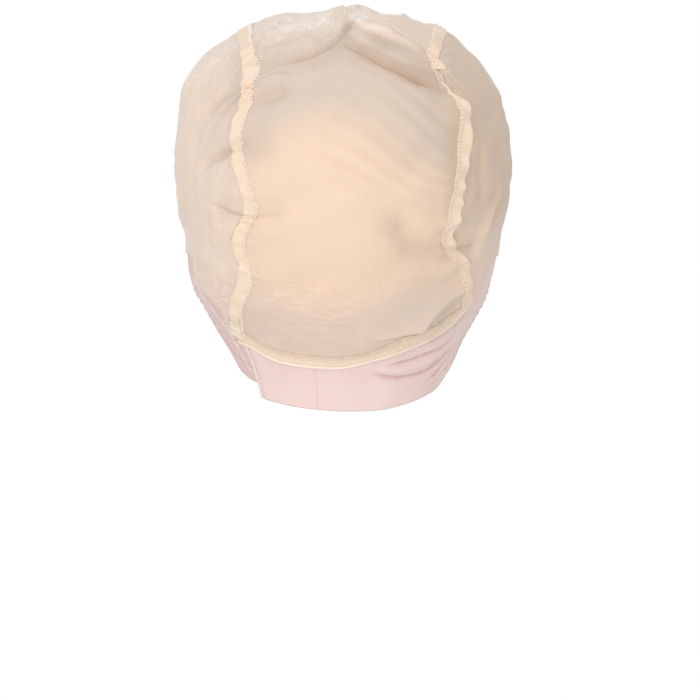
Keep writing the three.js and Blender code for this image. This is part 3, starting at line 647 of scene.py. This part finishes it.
def add_net():
    """The three panels. The middle one is the patch between the seams; a side one runs from its seam's
    tape straight to the lower edge."""
    across, along = np.meshgrid(np.linspace(0.002, 0.998, CENTER_COLUMNS + 1), row_shares)
    toward = center_toward(across, along)
    points, outs, marks = net_surface(toward, along, ("left", "right"))
    turn = np.arctan2(toward[..., 2], -toward[..., 1])
    flat = HEAD_REACH * np.stack([np.arcsin(toward[..., 0]), turn], -1)
    panels = [cloth_wall("center_net", points, outs, NET_CLOTH, flat, marks)]
    middle = center_toward(np.full(NET_ROWS + 1, 0.5), row_shares)
    for side, (nape, brow, _) in seam_ends.items():
        seam = seams[side](row_shares)
        under = [away_from(seam, middle, -np.full(NET_ROWS + 1, length)) for length in UNDER_TAPE]
        share = np.linspace(0, 1, SIDE_COLUMNS + 1)[1:, None, None]
        spread = unit(under[-1] * (1 - share) + rim(nape, brow, row_shares) * share)
        toward = np.concatenate([np.stack(under), spread]).transpose(1, 0, 2)
        along = np.repeat(row_shares[:, None], toward.shape[1], 1)
        points, outs, marks = net_surface(toward, along, (side,))
        ear = 1 if side == "right" else -1
        turn = np.arctan2(toward[..., 2], -toward[..., 1])
        reach = HEAD_REACH * np.arccos(np.clip(ear * toward[..., 0], -1, 1))
        flat = np.stack([reach * np.cos(turn), reach * np.sin(turn)], -1)
        panels.append(cloth_wall(f"{side}_net", points, outs, NET_CLOTH, flat, marks))
    return panels


center_net, left_net, right_net = add_net()
for panel, material, finish, node in (
        (center_net, fine_net, "net_fine", "net_center"), (left_net, sheer_net, "net_sheer", "net_left"),
        (right_net, sheer_net, "net_sheer", "net_right")):
    panel.data.materials.append(material)
    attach(panel, "root")
    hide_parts(node)

# Grip band
# A soft doubled band of silky pink stretch cloth that grips brow and nape. It is one strip, sewn along its
# lower edge; its outer end is turned in, and laps over the inner end at the nape.
BAND_COLUMNS = 620
BAND_ROWS = 44
BAND_WIDTH = 45  # of the flat strip
END_HEM = 2.4
END_HEM_RISE = 0.45
TURNED_EDGE = 0.3  # how much thicker the strap's lower edge is, where it is turned in
END_EASE = 1.25  # how much the lap is eased down at the turned end
LAP_START = -285  # angle past which the band lies over its own end
SILK_RIB = 0.9
# height, fade to the left and right, and the path's angles round and drops
BAND_CREASES = [
    (-2.6, 1.0, 3.6, [(10, 0.868), (22, 0.881), (31, 0.885), (48, 0.873), (60, 0.843), (70, 0.79)]),
    (-2.3, 1.0, 3.2, [(20, 0.857), (32, 0.847), (44, 0.832), (56, 0.814), (66, 0.775)]),
    (-1.9, 1.0, 2.8, [(38, 0.81), (50, 0.79), (60, 0.755), (68, 0.71)]),
    (1.0, 2.4, 1.6, [(14, 0.862), (30, 0.868), (46, 0.853), (60, 0.825)]),
    (-1.0, 0.9, 1.4, [(55, 0.9), (62, 0.87), (68, 0.83), (72, 0.8)]),
    (-0.8, 0.9, 1.4, [(50, 0.91), (58, 0.885), (66, 0.85)]),
    (-0.7, 0.9, 1.4, [(60, 0.91), (66, 0.88), (71, 0.85)]),
]


def band_place(around, share, height):
    """Point a height above the head on the band, at an angle round it and a share of its width up."""
    low, high = (table_value(BAND_STATIONS, column, around) for column in (1, 2))
    base = level_point(around, low + (high - low) * share)
    out = head_normal(base)
    return base + out * (height + band_swell(base))[..., None], out, base


def band_relief(base, out, around):
    """Sum of the band's creases on its outer end, at points of the head below it and their ways out."""
    fine = 0
    for crease, left, right, path in BAND_CREASES:
        path = level_point(*np.transpose(path))
        fine = fine + crease_height(base, out, path, crease, left, right)
    return np.where(around < LAP_START, fine, 0)


def band_outside(around, share, height=0):
    """Outer face of the band: its lift in the lap, eased down at the turned end, and its creases."""
    lift = band_lift(around) - END_EASE * smooth(-around, -BAND_TO - 6, -BAND_TO - 1.5)
    point, out, base = band_place(around, share, lift + BAND_WALL + height)
    fine = band_relief(base, out, around)
    run = band_run(BAND_TO) - band_run(around)
    hem = END_HEM_RISE * (1 - smooth(run, END_HEM, END_HEM + 0.6))
    soft = 0.1 * np.sin(band_run(around) / 5.3 + 3 * share) * np.sin(band_run(around) / 13 + 1)
    turned = TURNED_EDGE * (1 - smooth(share, 0.15, 0.18)) * smooth(around, -310, -300)
    return point + out * (fine + hem + soft + turned)[..., None], out


band_angles = np.linspace(BAND_FROM, BAND_TO, 900)
band_middle = band_place(band_angles, 0.5 + 0 * band_angles, 0 * band_angles)[0]
band_lengths = np.concatenate([[0], np.cumsum(np.linalg.norm(np.diff(band_middle, axis=0), axis=-1))])


def band_run(around):
    """Length along the band's middle from its inner end, added up from short chords."""
    return np.interp(-around, -band_angles, band_lengths)


def silk_material():
    """Silky stretch cloth: fine ribs across the band, a soft gloss, and faint warmer and cooler clouds. It
    is paler on its turned end, with a painted highlight on the ridges of its creases, and painted shade
    in them and on the strap at the left."""
    material, cloth = new_material("silky_stretch_cloth_pink")
    ribs = pattern(material, "Wave", cloth, {
        "Scale": WAVE_SCALE / SILK_RIB, "Distortion": 0.8, "Detail": 1.0, "Detail Scale": 0.4})
    cloud = pattern(material, "Noise", cloth, {"Scale": 0.06, "Detail": 3.0})
    body = blend(material, value_of(material, "MULTIPLY_ADD", ribs, 0.07, cloud), "#eed1cb", "#f9e2dd")
    body = blend(material, mark_of(material, "turned_end_and_painted_ridge_highlight", 0.6), body, "#fdeee9")
    body = blend(material, mark_of(material, "shaded", 0.45), body, "#dcb5b2")
    return finish_material(material, {
        "Base Color": body, "Roughness": 0.5, "Specular IOR Level": 0.35, "Sheen Weight": 0.35,
        "Sheen Roughness": 0.35, "Normal": bump(material, ribs, 0.06, 0.0001)})


def add_band():
    """The strip from its inner end right round to its outer end."""
    around, share = np.meshgrid(np.linspace(BAND_FROM, BAND_TO, BAND_COLUMNS + 1),
                                np.linspace(0, 1, BAND_ROWS + 1), indexing="ij")
    points, outs = band_outside(around, share)
    flat = np.stack([band_run(around), BAND_WIDTH * share], -1)
    _, ways, base = band_place(around, share, 0 * around)
    relief = band_relief(base, ways, around)
    # paler on the turned end, with a painted highlight on the ridges of the creases
    turned_end_and_painted_ridge_highlight = 1 - smooth(band_run(BAND_TO) - band_run(around), END_HEM - 0.2, END_HEM + 0.3)
    turned_end_and_painted_ridge_highlight = np.clip(turned_end_and_painted_ridge_highlight + smooth(relief, 0.2, 1.2), 0, 1)
    # painted shade on the strap at the left and in the creases
    shaded = smooth(-around, 50, 60) * (1 - smooth(-around, 100, 115))
    shaded = np.clip(shaded + 1.1 * smooth(-relief, 0.4, 2), 0, 1)
    return cloth_wall("band", points, outs, BAND_WALL - 0.1, flat, {"turned_end_and_painted_ridge_highlight": turned_end_and_painted_ridge_highlight, "shaded": shaded})


silk = silk_material()
band = add_band()
band.data.materials.append(silk)
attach(band, "root")
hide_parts("grip_band")

# Hook-and-loop pad
# A stiff patch of nylon loops sewn between the band's ends, hidden under the outer one.
PAD_FROM, PAD_TO = -47, -14
PAD_LOW, PAD_HIGH = 0.25, 0.8
PAD_TOP = 1.1  # above the inner end of the band
PAD_WALL = 0.7


def add_pad():
    """Patch that lies on the inner end of the band."""
    around, share = np.meshgrid(np.linspace(PAD_FROM, PAD_TO, 60), np.linspace(PAD_LOW, PAD_HIGH, 34),
                                indexing="ij")
    points, outs, _ = band_place(around, share, BAND_WALL + PAD_TOP + 0 * around)
    flat = np.stack([band_run(around), BAND_WIDTH * share], -1)
    return cloth_wall("loop_pad", points, outs, PAD_WALL, flat)


def loop_material():
    """Nylon loops: a coarse matte fuzz of small round cells, drawn 1 mm across so that they show."""
    material, cloth = new_material("nylon_loop_pile")
    cells = add_node(material, "ShaderNodeTexVoronoi", {"Vector": cloth, "Scale": 1.0}).outputs["Distance"]
    return finish_material(material, {
        "Base Color": blend(material, cells, "#f3ddd6", "#dfc0b8"), "Roughness": 0.95, "Sheen Weight": 0.5,
        "Normal": bump(material, cells, 0.6, 0.0003)})


pad = add_pad()
pad.data.materials.append(loop_material())
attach(pad, "root")
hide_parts("hook_pad")

# Seam tapes
# A woven cotton tape nearly 8 mm wide covers each join of the panels from nape to brow, zigzag-stitched
# along the edge that faces the middle panel. The tapes bunch where the seams pinch, and the right one's
# free edge ruffles.
TAPE_CLOTH = 0.35
TAPE_GAP = 0.08
TAPE_PRESS = 0.2  # how much thinner its pressed edges are
HEM_CLOTH = 0.34  # that a tape's lower end lies over
TAPE_ROWS = 800
TAPE_COLUMNS = 12
RUFFLES = {"left": 0.5, "right": 1.5}
# where each tape is tucked under, from and to as shares of its length, and how much of it
TUCKS = {"left": (0.152, 0.172, 0.25), "right": (0.542, 0.59, 0.92)}
TAUT = {"left": 0, "right": 0.22}  # how much narrower the tapes are drawn above the tuck
TAUT_FROM, RUFFLES_END = (0.6, 0.63), (0.59, 0.63)  # shares of the length over which each change comes
TUCK_EDGE = 0.006


def tape_place(side, share, across, height):
    """Point a height above the net on a tape: across is -1 on its edge by the middle panel and 1 on its
    free edge. The tape narrows at each pinch, where it is tucked under and where it is taut over the
    crown, and its free edge waves below that."""
    seam = seams[side](share)
    center = center_toward(np.full(share.shape, 0.5), share)
    run = seam_run(side, share)
    start, end, tucked = TUCKS[side]
    tucked = tucked * smooth(share, start - TUCK_EDGE, start + TUCK_EDGE)
    tucked = tucked * (1 - smooth(share, end - TUCK_EDGE, end + TUCK_EDGE))
    across = -1 + (across + 1) * (1 - tucked)
    ridge = 0
    for place, _, spread in PINCHES[side]:
        ridge = ridge + np.exp(-((run - seam_run(side, place)) / spread) ** 2)
    narrow = (1 - 0.18 * np.clip(ridge, 0, 1)) * (1 - TAUT[side] * smooth(share, *TAUT_FROM))
    turn = 2 * np.pi * (run / 10.5 + 0.35 * np.sin(run / 9.1))
    free = smooth(across, -0.4, 1) * smooth(share, 0.03, 0.1) * (1 - 0.9 * smooth(share, *RUFFLES_END))
    scallop = 0.16 * RUFFLES[side] * np.sin(turn + 0.8) * free
    toward = away_from(seam, center, -TAPE_HALF * (across * narrow + scallop))
    ruffle = RUFFLES[side] * (0.5 - 0.5 * np.cos(turn)) * free
    points, outs, _ = net_surface(toward, share, (side,), height)
    return points + outs * ruffle[..., None], outs


STITCH_SHADE_ROW = 0.4  # half of the width of the row of dark dots of painted shadow between the stitches
STITCH_SHADE_PITCH = 1.4  # half a zigzag
STITCH_SHADE_PLACE = -0.78 * TAPE_HALF
TAPE_RIB = 1.0


def tape_material(name, light, dark, stitch_shade=None):
    """Woven cotton tape: fine ribs across it, clouded by wear and handling, with a row of dark dots of
    painted shadow between the stitches along one edge where that row's place in the cloth is given, and
    the net's tone where the mark says that the net veils it."""
    material, cloth = new_material(name)
    ribs = pattern(material, "Wave", cloth, {
        "Scale": WAVE_SCALE / TAPE_RIB, "Distortion": 1.0, "Detail": 1.0}, bands_direction="Y")
    cloud = pattern(material, "Noise", cloth, {"Scale": 0.2, "Detail": 3.0})
    body = blend(material, value_of(material, "MULTIPLY_ADD", ribs, 0.25, cloud), dark, light)
    if stitch_shade is not None:
        place = add_node(material, "ShaderNodeSeparateXYZ", {"Vector": cloth}).outputs[0]
        row = value_of(material, "COMPARE", place, stitch_shade, STITCH_SHADE_ROW)
        dots = pattern(material, "Wave", cloth, {"Scale": WAVE_SCALE / STITCH_SHADE_PITCH}, bands_direction="Y")
        dots = stretched(material, dots, 0.62, 0.9)
        # dark dots of painted shadow between the zigzag's stitches
        body = blend(material, value_of(material, "MULTIPLY", dots, row), body, "#c5aa92")
    veil = value_of(material, "MULTIPLY", mark_of(material, "veiled", 1.3), cloud)
    return finish_material(material, {
        "Base Color": blend(material, veil, body, "#dcc3b0"), "Roughness": 0.8, "Specular IOR Level": 0.3,
        "Sheen Weight": 0.2, "Normal": bump(material, ribs, 0.3, 0.00012)})


cotton_tape = tape_material("woven_cotton_tape", "#fae6d1", "#f2d5ba", STITCH_SHADE_PLACE)


def add_tape(side):
    """One tape, from just above the hem to the brow."""
    share, across = np.meshgrid(np.linspace(0.006, 0.998, TAPE_ROWS + 1),
                                np.linspace(-1, 1, TAPE_COLUMNS + 1), indexing="ij")
    pressed = TAPE_PRESS * smooth(np.abs(across), 0.75, 1)
    over_hem = HEM_CLOTH * (1 - smooth(share, HEM_SHARE, 1.5 * HEM_SHARE))
    points, outs = tape_place(side, share, across, TAPE_GAP + TAPE_CLOTH - pressed + over_hem)
    flat = np.stack([TAPE_HALF * across, seam_run(side, share)], -1)
    return cloth_wall(f"{side}_tape", points, outs, TAPE_CLOTH, flat)


left_tape, right_tape = add_tape("left"), add_tape("right")
for tape, node in ((left_tape, "tape_left"), (right_tape, "tape_right")):
    tape.data.materials.append(cotton_tape)
    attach(tape, "root")
    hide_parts(node)


THREAD_TIP = 0.15  # share of the radius at a thread's ends


def thread_tubes(name, paths, outs, radius, sides=6):
    """Round threads or cords, one for each row of paths: a ring of points a radius off each point of the
    path, turned from the way across it to the way out of the cloth, and drawn in at both ends."""
    count, length = paths.shape[:2]
    along = unit(np.gradient(paths, axis=1))
    across = unit(np.cross(along, outs))
    up = np.cross(across, along)
    turn = np.linspace(0, 2 * np.pi, sides, endpoint=False)[:, None]
    taper = np.ones(length)
    taper[[0, -1]] = THREAD_TIP
    rings = paths[:, :, None] + radius * taper[:, None, None] * (
        np.cos(turn) * across[:, :, None] + np.sin(turn) * up[:, :, None])
    index = np.arange(count * length * sides).reshape(count, length, sides)
    ahead = np.roll(index, -1, axis=2)
    walls = np.stack([index[:, :-1], ahead[:, :-1], ahead[:, 1:], index[:, 1:]], -1).reshape(-1, 4)
    half = sides // 2
    fan = np.stack([np.zeros(half - 1, int), np.arange(1, 2 * half - 2, 2), np.arange(2, 2 * half - 1, 2),
                    np.arange(3, 2 * half, 2)], -1)
    first, last = index[:, 0][:, fan[:, ::-1]], index[:, -1][:, fan]
    faces = np.concatenate([walls, first.reshape(-1, 4), last.reshape(-1, 4)])
    place = np.stack(np.meshgrid(np.arange(count), np.arange(length), np.arange(sides), indexing="ij"), -1)
    flat = place.reshape(-1, 3)[:, [2, 1]].astype(float)[faces]
    return closed_mesh(name, rings.reshape(-1, 3), faces, flat, {})


def thread_material(name, dark, light):
    """Polyester sewing thread: smooth, with a slight gloss and a twist that shows as slow dark turns."""
    material, cloth = new_material(name)
    twist = pattern(material, "Wave", cloth, {"Scale": 0.07}, bands_direction="DIAGONAL")
    return finish_material(material, {
        "Base Color": blend(material, twist, dark, light), "Roughness": 0.5, "Specular IOR Level": 0.4,
        "Sheen Weight": 0.3})


cream_thread = thread_material("sewing_thread_cream", "#f9ebdb", "#fff7ed")
THREAD_RADIUS = 0.18
ZIGZAG_PITCH = 2.8
ZIGZAG_POINTS = 8  # points of the thread's path in one zigzag
ZIGZAG_MIDDLE, ZIGZAG_SWING = -0.84, 0.34  # across the tape, in halves of its width
ZIGZAG_LOW, ZIGZAG_RISE = 0.3, 0.2
TACK_TURNS = 5
TACK_FROM, TACK_TO = 0.012, 0.034
TACK_LOW, TACK_SWING = 0.75, 0.75


def tape_zigzag(side):
    """Zigzag thread along a tape's stitched edge: across it swings as a triangle wave, and it rises off
    the cloth in the middle of each stitch."""
    length = seam_run(side, 1.0)
    count = int(length / ZIGZAG_PITCH)
    turns = np.linspace(0.008 * count, 0.99 * count, count * ZIGZAG_POINTS)
    swing = 2 * np.abs(2 * (turns % 1) - 1) - 1
    across = ZIGZAG_MIDDLE + ZIGZAG_SWING * swing
    rise = ZIGZAG_LOW + ZIGZAG_RISE * np.cos(0.5 * np.pi * swing)
    points, outs = tape_place(side, turns / count, across, rise)
    return points[None], outs[None]


def bar_tack(side):
    """Dense zigzag right across a tape over its lower end, as a triangle wave that climbs it."""
    turns = np.linspace(0, TACK_TURNS, TACK_TURNS * ZIGZAG_POINTS + 1)
    swing = 2 * np.abs(2 * (turns % 1) - 1) - 1
    share = TACK_FROM + (TACK_TO - TACK_FROM) * turns / TACK_TURNS
    rise = TACK_LOW + ZIGZAG_RISE * np.cos(0.5 * np.pi * swing)
    points, outs = tape_place(side, share, TACK_SWING * swing, rise)
    return points[None], outs[None]


for name, (paths, ways) in (
        ("left_tape_zigzag", tape_zigzag("left")), ("right_tape_zigzag", tape_zigzag("right")),
        ("left_tape_bar_tack", bar_tack("left"))):
    stitches = thread_tubes(name, paths, ways, THREAD_RADIUS)
    stitches.data.materials.append(cream_thread)
    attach(stitches, "root")

# Hem tape
# A soft edging tape folded over the net's lower edge across the nape, with a rolled lower edge. The rest
# of the net's edge is finished with the same narrow rolled hem.


def hem_place(across, up, height):
    """Point a height above the net on the hem tape, up being 0 on the net's edge and 1 on its top."""
    share = HEM_SHARE * up
    points, outs, _ = net_surface(center_toward(across, share), share, (), height)
    return points, outs


HEM_LENGTH = 130
HEM_TOP = 0.36  # of the tape's outer face above the net
HEM_WALL = 0.3


def add_hem():
    """The tape, from seam to seam, with fine ripples along its top. It is wider towards the right."""
    across, up = np.meshgrid(np.linspace(0.0, 1.0, 241), np.linspace(0, 0.97, 11), indexing="ij")
    ripple = 0.12 * np.sin(across * 190 + 6 * np.sin(across * 21)) * smooth(up, 0, 1)
    wider = 1 + 0.9 * smooth(across, 0.5, 0.72) * (1 - smooth(across, 0.88, 1))
    points, outs = hem_place(across, up * wider, HEM_TOP + ripple)
    flat = np.stack([HEM_WIDTH * up, HEM_LENGTH * across], -1)
    return cloth_wall("hem_edging", points, outs, HEM_WALL, flat, {"veiled": smooth(up, 0.3, 0.97)})


hem = add_hem()
hem.data.materials.append(tape_material("soft_edging_tape", "#f8e3cf", "#efd6be"))
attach(hem, "root")
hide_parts("hem_tape")


def add_roll(name, toward, radius, height):
    """Rolled edge: a round cord of cloth along directions of the net's edge."""
    points, outs, _ = net_surface(toward, np.zeros(len(toward)), (), height)
    return thread_tubes(name, points[None], outs[None], radius, 8)


NAPE_ROLL, NAPE_ROLL_TOP = 0.7, 0.1  # radius, and height of the cord's middle above the net's face
SIDE_ROLL, SIDE_ROLL_TOP = 0.4, -0.35
nape_rim = rim(LEFT_NAPE - len(NET_RIM), RIGHT_NAPE, np.linspace(0, 1, 240))
side_rim = rim(RIGHT_NAPE, LEFT_NAPE, np.linspace(0, 1, 560))
nape_roll = add_roll("hem_roll", nape_rim, NAPE_ROLL, NAPE_ROLL_TOP)
edge_roll = add_roll("net_edge_roll", side_rim, SIDE_ROLL, SIDE_ROLL_TOP)
rolled_tape = tape_material("rolled_soft_tape", "#fff1e2", "#f8e2cd")
for roll, finish in ((nape_roll, "hem_tape"), (edge_roll, "net_sheer")):
    roll.data.materials.append(rolled_tape)
    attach(roll, "root")


STITCH_SINK, STITCH_RISE = 0.12, 0.3  # below the cloth's face at its ends, and up from there
HEM_THREAD, BAND_THREAD = 0.1, 0.14  # radii


def running_stitches(place, starts, ends):
    """Short arched threads from starts to ends, each rising out of the cloth and back into it. place
    gives points and ways out for a place along the seam and a height."""
    t = np.linspace(0, 1, 7)
    along = starts[:, None] + (ends - starts)[:, None] * t
    return place(along, STITCH_RISE * np.sin(np.pi * t) - STITCH_SINK + 0 * along)


HEM_STITCH, HEM_STEP = 1.5, 2.2  # length of a stitch, and of a stitch with its gap
hem_marks = np.arange(0.01, 0.985, HEM_STEP / HEM_LENGTH)


def hem_line(up):
    """Place function for a line of stitches at one height of the hem tape."""
    return lambda along, height: hem_place(along, np.full(along.shape, up), HEM_TOP + height)


HEM_LINES = (0.2, 0.72)  # shares of the tape's width up to its two lines of stitches
buff_thread = thread_material("sewing_thread_buff", "#dfc7b0", "#f1dcc6")
for name, up in (("hem_stitches_low", HEM_LINES[0]), ("hem_stitches_high", HEM_LINES[1])):
    paths, ways = running_stitches(hem_line(up), hem_marks, hem_marks + HEM_STITCH / HEM_LENGTH)
    stitches = thread_tubes(name, paths, ways, HEM_THREAD)
    stitches.data.materials.append(buff_thread)
    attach(stitches, "root")

# Stitching of the grip band
# Pink thread: a line along the lower edge of the strap, one across the turned end, and one across the band
# where its two lengths of cloth are joined at the nape.
pink_thread = thread_material("sewing_thread_pink", "#cbaba4", "#e6ccc5")
EDGE_LINE = 0.15  # share of the width up to the line along the lower edge
EDGE_STITCH, EDGE_STEP = 1.3, 1.9  # in degrees round
END_STITCH, END_STEP = 1.4 / 42, 2.1 / 42  # shares of the width between the band's edges
END_LINE = BAND_TO + 2.6
JOIN_LINE = -374.0
edge_marks = np.arange(12, -300, -EDGE_STEP)
end_marks = np.arange(0.03, 0.96, END_STEP)


def line_round(share):
    """Place function for a line of stitches at one share of the band's width."""
    return lambda along, height: band_outside(along, np.full(along.shape, share), height)


def line_across(around):
    """Place function for a line of stitches at one angle round the band."""
    return lambda along, height: band_outside(np.full(along.shape, around), along, height)


band_lines = [
    ("band_edge_stitches", line_round(EDGE_LINE), edge_marks, edge_marks - EDGE_STITCH),
    ("band_end_stitches", line_across(END_LINE), end_marks, end_marks + END_STITCH),
    ("band_join_stitches", line_across(JOIN_LINE), end_marks, end_marks + END_STITCH)]
for name, place, starts, ends in band_lines:
    paths, ways = running_stitches(place, starts, ends)
    stitches = thread_tubes(name, paths, ways, BAND_THREAD)
    stitches.data.materials.append(pink_thread)
    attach(stitches, "root")

# Piped seam down the under strap, of the same silk: a cord laid along the angles round and drops
STRAP_SEAM = [(-86, 0.63), (-79.7, 0.667), (-70.3, 0.721), (-64.4, 0.771), (-63, 0.804), (-61.5, 0.848),
              (-58.5, 0.885)]
PIPING_RADIUS = 0.35
PIPING_LIFT = 0.15  # of the cord's middle above the band's face


def strap_piping():
    """Path of the cord on the band's outer face, smoothed through the seam's points, and ways out."""
    chosen = level_point(*np.transpose(STRAP_SEAM))
    line = HEAD_REACH * smooth_curve(unit(chosen - HEAD_MIDDLE), False)(np.linspace(0, 0.999, 80))
    base = head_point(unit(line))
    out = head_normal(base)
    return (base + out * (BAND_WALL + band_swell(base) + PIPING_LIFT)[:, None])[None], out[None]


piping = thread_tubes("strap_piping", *strap_piping(), PIPING_RADIUS, 8)
piping.data.materials.append(thread_material("silk_piping_pink", "#f4ded9", "#fbefe9"))
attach(piping, "root")

# Stage: a plain pale floor far below the cap, and soft studio lights, the strongest from the left of the
# camera, a weak one from its right and one from above.
FLOOR_LEVEL = -0.6
FLOOR_HALF = 1.5
floor_mesh = bpy.data.meshes.new("floor")
corners = [(-FLOOR_HALF, -FLOOR_HALF), (FLOOR_HALF, -FLOOR_HALF), (FLOOR_HALF, FLOOR_HALF),
           (-FLOOR_HALF, FLOOR_HALF)]
floor_mesh.from_pydata([(*corner, FLOOR_LEVEL) for corner in corners], [], [(0, 1, 2, 3)])
floor = add_object("floor", floor_mesh)
paper, _ = new_material("matt_background_paper")
floor_mesh.materials.append(finish_material(paper, {"Base Color": linear("#f4f3f1"), "Roughness": 0.9}))

world = bpy.data.worlds.new("studio")
bpy.context.scene.world = world
world.use_nodes = True
world.node_tree.nodes.clear()
seen = add_node(world, "ShaderNodeBackground", {"Color": (1, 1, 1, 1), "Strength": 1.0}).outputs[0]
cast = add_node(world, "ShaderNodeBackground", {"Color": (1, 0.99, 0.98, 1), "Strength": 0.68}).outputs[0]
rays = add_node(world, "ShaderNodeLightPath").outputs["Is Camera Ray"]
mixed = add_node(world, "ShaderNodeMixShader", {0: rays, 1: cast, 2: seen}).outputs[0]
add_node(world, "ShaderNodeOutputWorld", {"Surface": mixed})


def add_light(name, place, aim, size, power):
    """Square soft light at a place, its face turned to what it aims at."""
    data = bpy.data.lights.new(name, "AREA")
    data.size, data.energy = size, power
    light = add_object(name, data)
    back = np.subtract(place, aim)
    light.location = place
    tilt = np.arctan2(np.hypot(back[0], back[1]), back[2])
    light.rotation_euler = (tilt, 0, np.arctan2(back[0], -back[1]))


add_light("key", (-0.42, -1.65, 0.05), (0, 0, -0.1), 0.7, 7.1)
add_light("fill", (0.95, -1.3, -0.1), (0, 0, -0.1), 0.8, 0.8)
add_light("top", (-0.35, -0.75, 1.1), (0, 0, -0.05), 0.8, 2.9)

camera_data = bpy.data.cameras.new("camera")
camera_data.lens = 174
camera = add_object("camera", camera_data)
camera.location = (0.0033, -1.6, -0.157)
camera.rotation_euler = (np.pi / 2, 0, 0)
bpy.context.scene.camera = camera
bpy.context.scene.view_settings.view_transform = "Standard"
